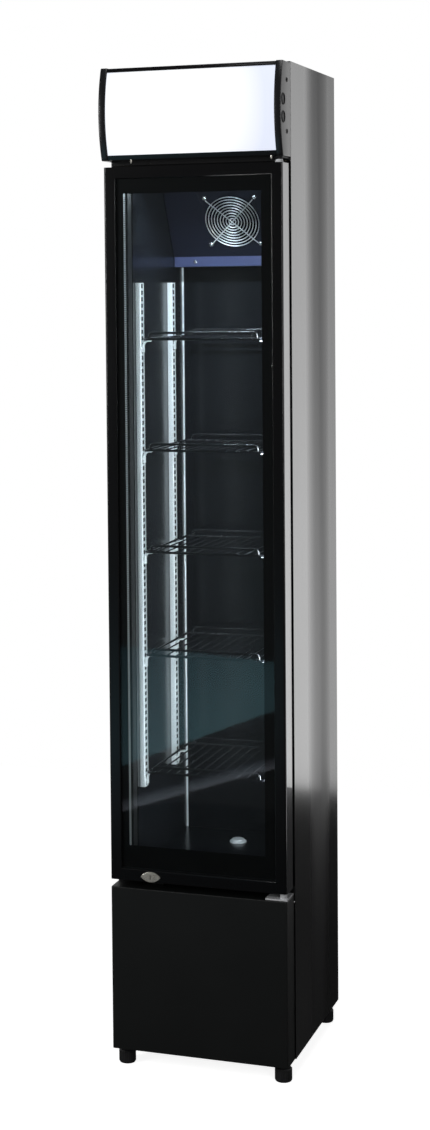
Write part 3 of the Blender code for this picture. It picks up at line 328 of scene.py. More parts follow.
# %% Sign and lamp
SIGN_MIDDLE_X, SIGN_MIDDLE_Z, SIGN_REACH_X, SIGN_REACH_Z = -0.035, 1.861, 0.185, 0.105
sign = Finish("sign_white")
across = abs(sign.along("X") - SIGN_MIDDLE_X) * (1 / SIGN_REACH_X)
upward = abs(sign.along("Z") - SIGN_MIDDLE_Z) * (1 / SIGN_REACH_Z)
falloff = across * across * across + upward * upward * upward * 0.50
falloff = (falloff + (sign.noise(3.0) - 0.5) * 0.08).least(0.0).most(1.0)
sign.surface({
    "Base Color": sign.tint(falloff, (0.24, 0.25, 0.26), (0.18, 0.19, 0.22)),
    "Roughness": 0.30 + (sign.noise(400.0) - 0.5) * 0.06,
    "Emission Color": sign.tint(falloff, (1.0, 1.0, 1.0), (0.71, 0.75, 0.87)),
    "Emission Strength": 1.0,
})

lamp = Finish("lamp_white")
stripe = lamp.noise(60.0, 1.0)
lamp.surface({
    "Base Color": lamp.tint(stripe, (0.86, 0.88, 0.92), (0.94, 0.95, 0.98)),
    "Roughness": 0.4 + (stripe - 0.5) * 0.1,
    "Emission Color": lamp.tint(stripe, (0.82, 0.88, 1.0), (0.90, 0.94, 1.0)),
    "Emission Strength": 30.0,
})
print("lit finishes: sign and lamp")

# %% Glass
MIRROR_SHARE, GLASS_IOR = 0.62, 1.45
glass = Finish("glass")
smear = glass.noise(14.0, 3.0)
see = glass.node("ShaderNodeBsdfTransparent", sockets={"Color": (0.93, 0.96, 0.96, 1.0)})
shine = glass.node("ShaderNodeBsdfGlossy", sockets={"Color": (0.93, 0.97, 0.98, 1.0), "Roughness": 0.02})
facing = glass.node("ShaderNodeFresnel", sockets={"IOR": GLASS_IOR})
share = facing * MIRROR_SHARE * (0.95 + (smear - 0.5) * 0.2)
glass.show(glass.node("ShaderNodeMixShader", sockets={0: share, 1: see, 2: shine}))
print("finishes:", sorted(FINISHES))

# %% [markdown]
# ## Every solid gets its finish
#
# The record names a material slot for each solid. The solids that stay in view keep their shape and take the
# finish of that name, and a few take a closer one.

# %% Dress the solids
CLOSER = {"glass_spacer": "spacer_aluminium", "fan_cover": "fan_panel", "lock_escutcheon": "nickel",
          "lock_cylinder": "nickel", "canopy_cap_left": "cap_plastic", "canopy_cap_right": "cap_plastic",
          "kick_panel": "kick_black", "top_hinge": "hinge_black", "bottom_hinge": "zinc_plate",
          "fan_frame": "rotor_black"}
subparts = frame["record"]["subparts"]
for part in subparts:
    solid = SOLIDS[part["node"]]
    solid.data.materials.clear()
    solid.data.materials.append(FINISHES[CLOSER.get(part["node"], part["material_slot"])])
print("dressed solids:", len(subparts))

# %% Round their edges
SHARP_ANGLE, WELD_GAP = 35.0, 0.00002
ROUNDED = {0.0006: ("canopy_top_rail", "canopy_bottom_rail", "lock_escutcheon", "top_hinge", "bottom_hinge",
                    "base_pan"),
           0.0008: ("drain_cap", "control_box", "interior_lamp", "fan_cover", "header_panel")}


def round_off(node, width):
    """Softens a solid's sharp edges without touching its mesh: a weld and a bevel ride on it as modifiers."""
    solid = SOLIDS[node]
    weld = solid.modifiers.new("weld", "WELD")
    weld.merge_threshold = WELD_GAP
    bevel = solid.modifiers.new("round", "BEVEL")
    bevel.width = width
    bevel.segments = 2
    bevel.limit_method = "ANGLE"
    bevel.angle_limit = math.radians(SHARP_ANGLE)


for width, nodes in ROUNDED.items():
    for node in nodes:
        round_off(node, width)
print("rounded solids:", sum(len(nodes) for nodes in ROUNDED.values()))

# %% [markdown]
# ## Working at the bench
#
# Each new piece starts from a primitive at its size and place and is shaped in edit mode. An operator acts on
# all that is selected, so everything is deselected first, and faces and edges are then picked by where they
# lie. The helpers below hold those few steps.


# %% Opening and closing a mesh
def close_mesh():
    if bpy.context.mode != "OBJECT":
        bpy.ops.object.mode_set(mode="OBJECT")


def bare_bench():
    close_mesh()
    bpy.ops.object.select_all(action="DESELECT")


def put_on_bench(piece):
    """Selects one piece alone, so that operators act on it."""
    bare_bench()
    piece.select_set(True)
    bpy.context.view_layer.objects.active = piece


def apply_place():
    bpy.ops.object.transform_apply(location=True, rotation=True, scale=True)


def select_all():
    bpy.ops.mesh.select_all(action="SELECT")


def resize(factors, centre=(0, 0, 0)):
    bpy.ops.transform.resize(value=factors, center_override=centre)


def shift(travel):
    bpy.ops.transform.translate(value=travel)


def open_block(name, low, high):
    """A cube between two corners, open in edit mode with all of it selected."""
    bare_bench()
    bpy.ops.mesh.primitive_cube_add(size=1.0)
    bpy.context.object.name = name
    bpy.ops.object.mode_set(mode="EDIT")
    resize([b - a for a, b in zip(low, high)])
    shift([(a + b) / 2 for a, b in zip(low, high)])
    return bpy.context.object


def open_sheet(name, rotation=(0, 0, 0)):
    """A sheet one metre square about the origin, open in edit mode with all of it selected."""
    bare_bench()
    bpy.ops.mesh.primitive_plane_add(size=1.0, rotation=rotation)
    bpy.context.object.name = name
    apply_place()
    bpy.ops.object.mode_set(mode="EDIT")
    return bpy.context.object


def open_ring(name, at, heading, radius, sides, filled=True):
    """A circle of points facing along heading, open in edit mode with all of it selected."""
    bare_bench()
    turn = Vector(heading).to_track_quat("Z", "Y").to_euler()
    bpy.ops.mesh.primitive_circle_add(vertices=sides, radius=radius, location=at, rotation=turn,
                                      fill_type="NGON" if filled else "NOTHING")
    bpy.context.object.name = name
    apply_place()
    bpy.ops.object.mode_set(mode="EDIT")
    select_all()
    return bpy.context.object


print("a block, a sheet or a ring can be opened")

# %% Picking and shaping
ALONG, NEAR, HAIR, NEAR_MIDDLE = 0.9, 0.0005, 0.00005, 0.02


def upright(way):
    return abs(way.z) > ALONG


def pick(kind, test):
    """Selects the faces, edges or points of the open mesh that pass a test on their middle and direction."""
    mesh = bpy.context.object.data
    bpy.ops.mesh.select_all(action="DESELECT")
    bpy.ops.mesh.select_mode(type=kind)
    shape = bmesh.from_edit_mesh(mesh)
    if kind == "FACE":
        for face in shape.faces:
            face.select_set(bool(test(face.calc_center_median(), face.normal)))
    elif kind == "EDGE":
        for edge in shape.edges:
            ends = [vert.co for vert in edge.verts]
            edge.select_set(bool(test((ends[0] + ends[1]) / 2, (ends[1] - ends[0]).normalized())))
    else:
        for vert in shape.verts:
            vert.select_set(bool(test(vert.co, vert.normal)))
    bmesh.update_edit_mesh(mesh)


def pull(travel):
    bpy.ops.mesh.extrude_region_move(TRANSFORM_OT_translate={"value": travel})


def swing(angle, centre, axis, steps):
    """Spins what is selected by a right handed angle. The operator itself turns the other way."""
    bpy.ops.mesh.spin(steps=steps, angle=-angle, center=centre, axis=axis)


def bevel_edges(offset, segments):
    bpy.ops.mesh.bevel(offset=offset, segments=segments, affect="EDGES")


def tidy_mesh(merge=0.00001):
    select_all()
    bpy.ops.mesh.remove_doubles(threshold=merge)
    bpy.ops.mesh.normals_make_consistent(inside=False)


print("an open mesh can be picked and shaped")

# %% Finishing a piece
SOFT_ANGLE = 50.0


def shape_with(kind, settings):
    """Adds a modifier to the piece on the bench and applies it."""
    close_mesh()
    modifier = bpy.context.object.modifiers.new(kind.lower(), kind)
    for name, setting in settings.items():
        setattr(modifier, name, setting)
    bpy.ops.object.modifier_apply(modifier=modifier.name)


def soften(width, segments):
    shape_with("BEVEL", {"width": width, "segments": segments, "limit_method": "ANGLE",
                         "angle_limit": math.radians(SOFT_ANGLE)})


def join(first, *others):
    put_on_bench(first)
    for piece in others:
        piece.select_set(True)
    bpy.ops.object.join()
    return first


def settle(piece, body, finish, stands_for=(), smooth=40.0, flat=False):
    """Ends work on a piece: smooth shading, its finish, the body it rides on and the solids it stands for."""
    put_on_bench(piece)
    bpy.ops.object.shade_smooth_by_angle(angle=math.radians(smooth))
    if flat:
        shape_with("WEIGHTED_NORMAL", {"keep_sharp": True})
    piece.data.materials.clear()
    piece.data.materials.append(FINISHES[finish])
    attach(piece, body)
    if stands_for:
        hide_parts(*stands_for)


def copy_to(piece, name, travel):
    """A copy with its own mesh, moved."""
    put_on_bench(piece)
    bpy.ops.object.duplicate()
    made = bpy.context.object
    made.name = name
    bpy.ops.object.mode_set(mode="EDIT")
    select_all()
    shift(travel)
    close_mesh()
    return made


print("bench ready")

# %% [markdown]
# ## Case sheets
#
# The case is folded from thin sheet. A fold has a small round edge, and that edge is what shows as a bright
# line down the corner of a black cabinet. Each sheet starts as a block of its own solid's size and has its
# edges bevelled.

# %% Case sheets
CASE_SHEETS, FOLD = ("case_left", "case_right", "case_top", "case_back", "case_header"), 0.0005
for node in CASE_SHEETS:
    piece = open_block(f"{node}_sheet", *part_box(node))
    bevel_edges(FOLD, 3)
    settle(piece, "cabinet", "black_steel", (node,), flat=True)
print("case sheets:", len(CASE_SHEETS))

# %% [markdown]
# ## Lower front cover
#
# The cover is a tray of sheet, open at the back and underneath, with generous round corners down its front
# edges. It is a block with two faces taken out, its corners bevelled, and a wall thickness added inwards. The
# lock's keeper stands on its top edge, and a thin flange runs back from each side.

# %% Lower front cover
COVER_CORNER, COVER_EDGE, SHEET, LOCK_X = 0.004, 0.0015, 0.0012, -0.095
KEEPER_RISE, KEEPER_HALF, KEEPER_FRONT, KEEPER_BACK = 0.009, 0.013, -0.1508, -0.1483
KEEPER_SUNK, KEEPER_ROUND = 0.001, 0.003
FLANGE_IN, FLANGE_OUT, FLANGE_FRONT, FLANGE_BACK = 0.1764, 0.1774, -0.146, -0.118
FLANGE_LIFT, FLANGE_TOP, FLANGE_ROUND = 0.004, 0.343, 0.010
low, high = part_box("kick_panel")
cover_top = high[2] - KEEPER_RISE
cover = open_block("front_cover", low, (high[0], high[1], cover_top))
pick("EDGE", lambda at, way: upright(way) and at.y < low[1] + NEAR)
bevel_edges(COVER_CORNER, 5)
pick("EDGE", lambda at, way: not upright(way) and at.z > cover_top - NEAR and at.y < high[1] - NEAR)
bevel_edges(COVER_EDGE, 3)
pick("FACE", lambda at, way: way.y > ALONG or way.z < -ALONG)
bpy.ops.mesh.delete(type="FACE")
shape_with("SOLIDIFY", {"thickness": SHEET, "offset": -1.0})
keeper = open_block("keeper_tab", (LOCK_X - KEEPER_HALF, KEEPER_FRONT, cover_top - KEEPER_SUNK),
                    (LOCK_X + KEEPER_HALF, KEEPER_BACK, high[2]))
pick("EDGE", lambda at, way: abs(way.y) > ALONG and at.z > cover_top)
bevel_edges(KEEPER_ROUND, 4)
flanges = []
for hand in (-1, 1):
    xs = sorted((hand * FLANGE_IN, hand * FLANGE_OUT))
    flanges.append(open_block("side_flange", (xs[0], FLANGE_FRONT, low[2] + FLANGE_LIFT),
                              (xs[1], FLANGE_BACK, FLANGE_TOP)))
    pick("EDGE", lambda at, way: abs(way.x) > ALONG and at.y > FLANGE_BACK - NEAR)
    bevel_edges(FLANGE_ROUND, 2)
cover = join(cover, keeper, *flanges)
settle(cover, "cabinet", "kick_black", ("kick_panel",), flat=True)
print("front cover:", len(cover.data.polygons), "faces")

# %% [markdown]
# ## Door frame
#
# The frame is one ring with a narrow front lip and a deep pocket behind it for the glass. It could be four
# bars, but a block whose front and back are inset and bridged gives clean mitred corners: the front inset is
# the lip, the back inset is the pocket, and the step between them is made by a second extrusion.

# %% Door lip
DOOR_LIP, LIP_DEPTH, DOOR_CORNER, FLAT_ON = 0.0228, 0.003, 0.004, 0.99
low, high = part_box("door_frame")
middle_z = (low[2] + high[2]) / 2
half_z = (high[2] - low[2]) / 2
door = open_block("door_ring", low, high)
pick("EDGE", lambda at, way: upright(way) and at.y < low[1] + NEAR)
bevel_edges(DOOR_CORNER, 5)
pick("FACE", lambda at, way: way.y < -FLAT_ON)
bpy.ops.mesh.inset(thickness=DOOR_LIP - DOOR_CORNER, depth=0.0)
inner_half = half_z - (DOOR_LIP - DOOR_CORNER)
wanted_half = half_z - DOOR_LIP
pick("VERT", lambda at, way: at.y < low[1] + HAIR and abs(abs(at.z - middle_z) - inner_half) < NEAR)
resize((1, 1, wanted_half / inner_half), (0, 0, middle_z))
pick("FACE", lambda at, way: way.y < -FLAT_ON and abs(at.x) < NEAR_MIDDLE
     and abs(at.z - middle_z) < NEAR_MIDDLE)
pull((0, LIP_DEPTH, 0))
print("door lip:", DOOR_LIP, "m wide and", LIP_DEPTH, "m deep")

# %% Door pocket
STILE, LOW_RAIL, POCKET_FLOOR, LIP_ROUND, DOOR_ROUND = 0.012, 0.024, 0.0001, 0.0022, 0.0006
lip_half_x = high[0] - DOOR_LIP
pocket_half_x = high[0] - STILE
pocket_low, pocket_high = low[2] + LOW_RAIL, high[2] - STILE
pocket_z = (pocket_low + pocket_high) / 2
pull((0, 0, 0))
resize((pocket_half_x / lip_half_x, 1, (pocket_high - pocket_low) / (2 * wanted_half)), (0, 0, middle_z))
shift((0, 0, pocket_z - middle_z))
pull((0, high[1] - low[1] - LIP_DEPTH - POCKET_FLOOR, 0))
pick("FACE", lambda at, way: way.y > FLAT_ON and at.y > high[1] - HAIR)
bpy.ops.mesh.inset(thickness=STILE, depth=0.0)
pick("VERT", lambda at, way: at.y > high[1] - HAIR and abs(at.z - (low[2] + STILE)) < NEAR)
shift((0, 0, LOW_RAIL - STILE))
pick("FACE", lambda at, way: abs(at.x) < NEAR_MIDDLE and abs(at.z - pocket_z) < NEAR_MIDDLE
     and at.y > high[1] - NEAR)
bpy.ops.mesh.bridge_edge_loops()
tidy_mesh(0.00002)
pick("EDGE", lambda at, way: at.y < low[1] + HAIR and abs(at.x) < lip_half_x + NEAR
     and abs(at.z - middle_z) < wanted_half + NEAR)
bevel_edges(LIP_ROUND, 4)
soften(DOOR_ROUND, 2)
settle(door, "door", "door_black", ("door_frame",), smooth=50.0, flat=True)
print("door ring:", len(door.data.polygons), "faces")

# %% [markdown]
# ## Black border on the glass
#
# The outer pane has a black border printed on its inner face, which hides the glue and most of the spacer. It
# is a very thin block just behind the pane. Its front and back are inset, the inset edges are moved to the
# edges of the window, and a bridge between the two takes out the middle.

# %% Printed border
WINDOW_LEFT, WINDOW_RIGHT, WINDOW_RAISE, WINDOW_DROP = -0.1405, 0.1335, 0.044, 0.0385
BORDER, PRINT_GAP, PRINT_THICK = 0.02, 0.00005, 0.0002
low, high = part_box("outer_glass")
window_low, window_high = low[2] + WINDOW_RAISE, high[2] - WINDOW_DROP
print_front = high[1] + PRINT_GAP
border = open_block("glass_border", (low[0], print_front, low[2]),
                    (high[0], print_front + PRINT_THICK, high[2]))
pick("FACE", lambda at, way: abs(way.y) > ALONG)
bpy.ops.mesh.inset(thickness=BORDER, depth=0.0)
for axis, now, wanted in ((0, low[0] + BORDER, WINDOW_LEFT), (0, high[0] - BORDER, WINDOW_RIGHT),
                          (2, low[2] + BORDER, window_low), (2, high[2] - BORDER, window_high)):
    pick("VERT", lambda at, way: abs(at[axis] - now) < NEAR)
    travel = Vector()
    travel[axis] = wanted - now
    shift(travel)
pick("FACE", lambda at, way: abs(way.y) > ALONG and abs(at.x) < NEAR_MIDDLE
     and abs(at.z - (window_low + window_high) / 2) < NEAR_MIDDLE)
bpy.ops.mesh.bridge_edge_loops()
tidy_mesh()
settle(border, "door", "print_black")
print("printed border:", len(border.data.polygons), "faces")

# %% [markdown]
# ## Sign box
#
# The front of the sign box is part of a cylinder that lies along X. Spinning one straight edge about the
# cylinder's axis draws exactly that curve. Pulled straight back and flattened, the strip becomes an end cap;
# pulled back by a few millimetres it becomes the bowed sheet.

# %% Bowed pieces
CREST_Y, ARC_RADIUS, ARC_MIDDLE, HALF_SHEET = -0.213, 0.23880, 1.8605, 0.5
CAP_ROUND, SIGN_INSET, SIGN_THICK = 0.0014, 0.002, 0.003


def bowed_strip(name, low, high, inset, steps):
    """A strip of the sign box's curved front, open in edit mode with all of it selected."""
    radius = ARC_RADIUS - inset
    first = math.asin((low[2] - ARC_MIDDLE) / radius)
    last = math.asin((high[2] - ARC_MIDDLE) / radius)
    axis_y = CREST_Y + ARC_RADIUS
    start_y = axis_y - radius * math.cos(first)
    piece = open_sheet(name)
    resize((high[0] - low[0], 1, 1))
    shift(((low[0] + high[0]) / 2, start_y + HALF_SHEET, low[2]))
    pick("VERT", lambda at, way: at.y > start_y + HALF_SHEET)
    bpy.ops.mesh.delete(type="VERT")
    select_all()
    swing(first - last, (0, axis_y, ARC_MIDDLE), (1, 0, 0), steps)
    select_all()
    return piece


for node in ("canopy_cap_left", "canopy_cap_right"):
    low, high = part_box(node)
    piece = bowed_strip(f"{node}_moulding", low, high, 0.0, 28)
    pull((0, HALF_SHEET, 0))
    resize((1, 0, 1), (0, high[1], 0))
    tidy_mesh()
    soften(CAP_ROUND, 3)
    settle(piece, "cabinet", "cap_plastic", (node,), smooth=50.0)
bowed = bowed_strip("sign_sheet", *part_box("sign_panel"), SIGN_INSET, 40)
pull((0, SIGN_THICK, 0))
tidy_mesh()
settle(bowed, "cabinet", "sign_white", ("sign_panel",), smooth=50.0)
print("bowed pieces: 3,", len(bowed.data.polygons), "faces in the sheet")

# %% [markdown]
# ## Screws
#
# A pan head screw is a short cylinder whose top edge is rounded, with a cross cut into it. The heads differ
# in size and height, so a helper draws each one flat at the origin, cuts the cross, and then turns it to the
# face it sits on.

# %% Screw heads
DOME = ((0.45, 1.0), (0.38, 0.80), (0.17, 0.55))
CUT_LONG, CUT_WIDE, CUT_FLOOR, CUT_TOP, CUT_ROUND, CUT_TURN = 0.50, 0.09, 0.62, 1.5, 0.03, 20


def pan_screw(name, at, heading, finish, radius, height):
    """A domed screw head standing on a face, with a cross recess."""
    head = open_ring(name, (0, 0, 0), (0, 0, 1), radius, 20)
    for rise, narrowing in DOME:
        pull((0, 0, height * rise))
        resize((narrowing, narrowing, 1))
    for turn in (CUT_TURN, CUT_TURN + 90):
        cut = open_block("cut", (-radius * CUT_LONG, -radius * CUT_WIDE, height * CUT_FLOOR),
                         (radius * CUT_LONG, radius * CUT_WIDE, height * CUT_TOP))
        bevel_edges(radius * CUT_ROUND, 1)
        close_mesh()
        cut.rotation_euler = (0, 0, math.radians(turn))
        put_on_bench(head)
        shape_with("BOOLEAN", {"operation": "DIFFERENCE", "object": cut})
        bpy.data.objects.remove(cut, do_unlink=True)
    put_on_bench(head)
    head.rotation_euler = Vector(heading).to_track_quat("Z", "Y").to_euler()
    head.location = at
    apply_place()
    settle(head, "cabinet", finish)


CAP_SIDE, CAP_SCREW_Y, CAP_SCREW_Z = 0.180, -0.168, {"low": 1.8185, "high": 1.9145}
for name, hand in (("right", 1), ("left", -1)):
    for place, z in CAP_SCREW_Z.items():
        pan_screw(f"cap_screw_{name}_{place}", (hand * CAP_SIDE, CAP_SCREW_Y, z), (hand, 0, 0), "screw_dark",
                  radius=0.0045, height=0.0014)
print("cap screws: 4")

# %% [markdown]
# ## Rocker switches
#
# Two round rockers sit in the right end cap, each in a thin ring. The rocker is a shallow disc with a
# rounded rim and a dished middle, tipped to one side. It is modelled flat and then turned into place, on its
# own body, so it can tip.

# %% Rockers and their rings
QUARTER = math.pi / 2
SWITCH_Y, SWITCH_TILT, ROCKER_SUNK = -0.196, math.radians(-8.0), 0.0045
ROCKER_RADIUS, ROCKER_LOW, ROCKER_WALL, ROCKER_EDGE = 0.0095, -0.003, 0.0050, 0.0008
RING_FOOT, RING_RADIUS, RING_RISE, RING_WALL, RING_DEPTH = 0.1799, 0.0118, 0.0016, 0.0009, 0.0014
NARROWER, DISH_STEP, DISH_RISES = 0.93, 0.0024, (0.0009, 0.0006, 0.0003)
for node, body, z in (("lamp_switch", "lamp_rocker", 1.877), ("cooling_switch", "cooling_rocker", 1.844)):
    rocker = open_ring(f"{node}_rocker", (0, 0, ROCKER_LOW), (0, 0, 1), ROCKER_RADIUS, 36)
    pull((0, 0, ROCKER_WALL))
    pull((0, 0, ROCKER_EDGE))
    resize((NARROWER, NARROWER, 1))
    for rise in DISH_RISES:
        bpy.ops.mesh.inset(thickness=DISH_STEP)
        shift((0, 0, rise))
    close_mesh()
    rocker.rotation_euler = (0, SWITCH_TILT + QUARTER, 0)
    rocker.location = (CAP_SIDE - ROCKER_SUNK, SWITCH_Y, z)
    apply_place()
    settle(rocker, body, "switch_black", (node,))
    ring = open_ring(f"{node}_ring", (RING_FOOT, SWITCH_Y, z), (1, 0, 0), RING_RADIUS, 36)
    pull((RING_RISE, 0, 0))
    resize((1, NARROWER, NARROWER), (0, SWITCH_Y, z))
    bpy.ops.mesh.inset(thickness=RING_WALL)
    pull((-RING_DEPTH, 0, 0))
    settle(ring, "cabinet", "switch_black")
print("rockers: 2")

# %% [markdown]
# ## Wires
#
# Shelves and the fan guard are bent wire. A bent wire is a ring of points drawn along a path: pulled where it
# runs straight, and spun about the bend's centre where it turns. The helper keeps track of where the end is
# and which way it points.


# %% Drawing a wire
def draw_wire(name, at, heading, radius, moves, sides=8, closed=False):
    """Moves are ("go", length) and ("bend", angle, bend radius, axis)."""
    at, heading = Vector(at), Vector(heading)
    piece = open_ring(name, at, heading, radius, sides, not closed)
    for move in moves:
        if move[0] == "go":
            pull(heading * move[1])
            at = at + heading * move[1]
        else:
            axis = Vector(move[3])
            centre = at + axis.cross(heading) * move[2]
            swing(move[1], centre, axis, 5)
            turn = Matrix.Rotation(move[1], 3, axis)
            at = centre + turn @ (at - centre)
            heading = turn @ heading
    tidy_mesh()
    close_mesh()
    return piece


print("a wire can be drawn")

# %% [markdown]
# ## Shelves
#
# Each shelf is a rectangle of thick wire with thinner wires across it and a raised lip at front and back that
# keeps bottles from sliding off. One is made at the lowest place and copied to the others.

# %% Shelf wires
SHELF_HALF, SHELF_BAR, SHELF_WIRE, SHELF_WIRES, SHELF_DROP, SHELVES = 0.1237, 0.005, 0.003, 11, 0.005, 5
LIP_HALF, LIP_TOP, CORNER, LIP_BEND = 0.1107, 0.0175, 0.009, 0.007
low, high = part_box("shelf_1")
shelf_base = low[2] + SHELF_DROP
rim_z = shelf_base + SHELF_BAR / 2
rim_half = SHELF_HALF - SHELF_BAR / 2
rim_front, rim_back = low[1] + SHELF_BAR / 2, high[1] - SHELF_BAR / 2
run_x, run_y = 2 * (rim_half - CORNER), rim_back - rim_front - 2 * CORNER
corner = ("bend", QUARTER, CORNER, (0, 0, 1))
around = [("go", run_x / 2), corner, ("go", run_y), corner, ("go", run_x), corner, ("go", run_y), corner,
          ("go", run_x / 2)]
parts = [draw_wire("shelf_rim", (0, rim_front, rim_z), (1, 0, 0), SHELF_BAR / 2, around, 10, True)]
gap = (2 * SHELF_HALF - 2 * SHELF_BAR - SHELF_WIRES * SHELF_WIRE) / (SHELF_WIRES + 1)
for index in range(SHELF_WIRES):
    x = -SHELF_HALF + SHELF_BAR + gap * (index + 1) + SHELF_WIRE * (index + 0.5)
    parts.append(draw_wire("shelf_wire", (x, rim_front, shelf_base + SHELF_BAR - SHELF_WIRE / 2), (0, 1, 0),
                           SHELF_WIRE / 2, [("go", rim_back - rim_front)]))
lip_post = LIP_TOP - SHELF_BAR - LIP_BEND
lip_corner = ("bend", QUARTER, LIP_BEND, (0, 1, 0))
lip_wire = [("go", lip_post), lip_corner, ("go", 2 * (LIP_HALF - SHELF_BAR / 2 - LIP_BEND)), lip_corner,
            ("go", lip_post)]
for y in (rim_front, rim_back):
    parts.append(draw_wire("shelf_lip", (-LIP_HALF + SHELF_BAR / 2, y, rim_z), (0, 0, 1), SHELF_BAR / 2,
                           lip_wire, 10))
shelf = join(*parts)
shelves = [shelf]
for number in range(2, SHELVES + 1):
    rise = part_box(f"shelf_{number}")[0][2] - low[2]
    shelves.append(copy_to(shelf, f"wire_shelf_{number}", (0, 0, rise)))
shelf.name = "wire_shelf_1"
for number, piece in enumerate(shelves, 1):
    settle(piece, "cabinet", "shelf_black", (f"shelf_{number}",), smooth=60.0)
print("shelves:", len(shelves), "faces each:", len(shelf.data.polygons))

# %% [markdown]
# ## Shelf clips
#
# A bright clip hooks into the slotted rail at each corner, and the shelf's rim lies on its arm. It is a flat
# strip bent through a quarter turn, so it is drawn as a wire is, with a flat section.

# %% Clips
CLIP_WIDE, CLIP_THICK, CLIP_FOOT, CLIP_UP, CLIP_BEND, CLIP_REACH = 0.011, 0.0022, 0.001, 0.0112, 0.010, 0.005
CLIP_ROUND = 0.0003
RAIL_FACE, CLIP_OFF, CLIP_DROP, CLIP_PLACES = 0.1277, 0.0016, 0.0225, (-0.114, 0.087)


def shelf_clip(x, y, z, inward):
    """A strip that stands up against a rail and bends out under the shelf."""
    piece = open_block("clip", (x - CLIP_THICK / 2, y - CLIP_WIDE / 2, z - CLIP_FOOT),
                       (x + CLIP_THICK / 2, y + CLIP_WIDE / 2, z))
    pick("FACE", lambda at, way: way.z > ALONG)
    pull((0, 0, CLIP_UP))
    swing(inward * QUARTER, (x + inward * CLIP_BEND, y, z + CLIP_UP), (0, 1, 0), 4)
    pull((inward * CLIP_REACH, 0, 0))
    tidy_mesh()
    soften(CLIP_ROUND, 1)
    return piece


for number in range(1, SHELVES + 1):
    foot_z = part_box(f"shelf_{number}")[0][2] + SHELF_DROP - CLIP_DROP
    clips = []
    for inward in (1, -1):
        for y in CLIP_PLACES:
            clips.append(shelf_clip(inward * (CLIP_OFF - RAIL_FACE), y, foot_z, inward))
    clip_set = join(*clips)
    clip_set.name = f"shelf_clips_{number}"
    settle(clip_set, "cabinet", "white_plastic")
print("clips:", SHELVES * len(clips))

# %% [markdown]
# ## Slotted rails
#
# The rails are roll formed channels with a slot every half inch. One pitch of the face is a small sheet with
# an inset hole and two flanges. An Array modifier repeats it up the rail, and Solidify gives the sheet its
# thickness. A dark sheet lies in each rail behind the slots as painted shade, which is why they look black.

# %% Rails
SLOT_PITCH, SLOT_EDGE, SLOT_NARROW, RAIL_ROUND = 0.0127, 0.0022, 0.78, 0.0014
# Sizes of the dark sheets behind the slots, which are painted shade.
SHADE_SHEET_DEEP, SHADE_SHEET_THICK, SHADE_SHEET_SIDE, SHADE_SHEET_END = 0.0013, 0.0010, 0.0016, 0.0008


def slotted_rail(node, low, high, inward):
    face_x = high[0] if inward > 0 else low[0]
    half_wide = (high[1] - low[1]) / 2
    count = round((high[2] - low[2]) / SLOT_PITCH)
    pitch = (high[2] - low[2]) / count
    middle = (low[1] + high[1]) / 2
    piece = open_sheet(f"{node}_channel", (0, QUARTER, 0))
    resize((1, 2 * half_wide, pitch))
    shift((face_x, middle, low[2] + pitch / 2))
    pick("FACE", lambda at, way: True)
    bpy.ops.mesh.inset(thickness=SLOT_EDGE)
    resize((1, SLOT_NARROW, 1), (face_x, middle, low[2] + pitch / 2))
    bpy.ops.mesh.delete(type="FACE")
    pick("EDGE", lambda at, way: upright(way) and abs(abs(at.y - middle) - half_wide) < NEAR)
    pull((inward * (low[0] - high[0]), 0, 0))
    pick("EDGE", lambda at, way: upright(way) and abs(at.x - face_x) < NEAR
         and abs(abs(at.y - middle) - half_wide) < NEAR)
    bevel_edges(RAIL_ROUND, 3)
    shape_with("ARRAY", {"count": count, "use_relative_offset": False, "use_constant_offset": True,
                         "constant_offset_displace": (0, 0, pitch), "use_merge_vertices": True,
                         "merge_threshold": 0.00005})
    bpy.ops.object.mode_set(mode="EDIT")
    select_all()
    bpy.ops.mesh.normals_make_consistent(inside=False)
    shape = bmesh.from_edit_mesh(piece.data)
    front_face = min(shape.faces, key=lambda face: abs(face.calc_center_median().x - face_x))
    if front_face.normal.x * inward < 0:
        bpy.ops.mesh.flip_normals()
    shape_with("SOLIDIFY", {"thickness": SHEET, "offset": -1.0})
    settle(piece, "cabinet", "aluminium", (node,), smooth=30.0)
    return piece


# Dark sheets behind the slots are painted shade: they stand for the shade inside each rail.
shade_sheets = []
for node in ("pilaster_left_front", "pilaster_left_rear", "pilaster_right_front", "pilaster_right_rear"):
    low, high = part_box(node)
    inward = 1 if low[0] < 0 else -1
    rail = slotted_rail(node, low, high, inward)
    face_x = high[0] if inward > 0 else low[0]
    xs = sorted((face_x - inward * SHADE_SHEET_DEEP, face_x - inward * (SHADE_SHEET_DEEP + SHADE_SHEET_THICK)))
    shade_sheets.append(open_block("rail_shade_sheet", (xs[0], low[1] + SHADE_SHEET_SIDE, low[2] + SHADE_SHEET_END),
                              (xs[1], high[1] - SHADE_SHEET_SIDE, high[2] - SHADE_SHEET_END)))
settle(join(*shade_sheets), "cabinet", "print_black")
print("rails: 4,", len(rail.data.polygons), "faces each, with fillers")

# %% [markdown]
# ## Corner strips
#
# A slim bright strip covers the joint between the back of the liner and each side wall, from under the
# cooler's cover to the floor. It is a narrow bar with a rounded nose.

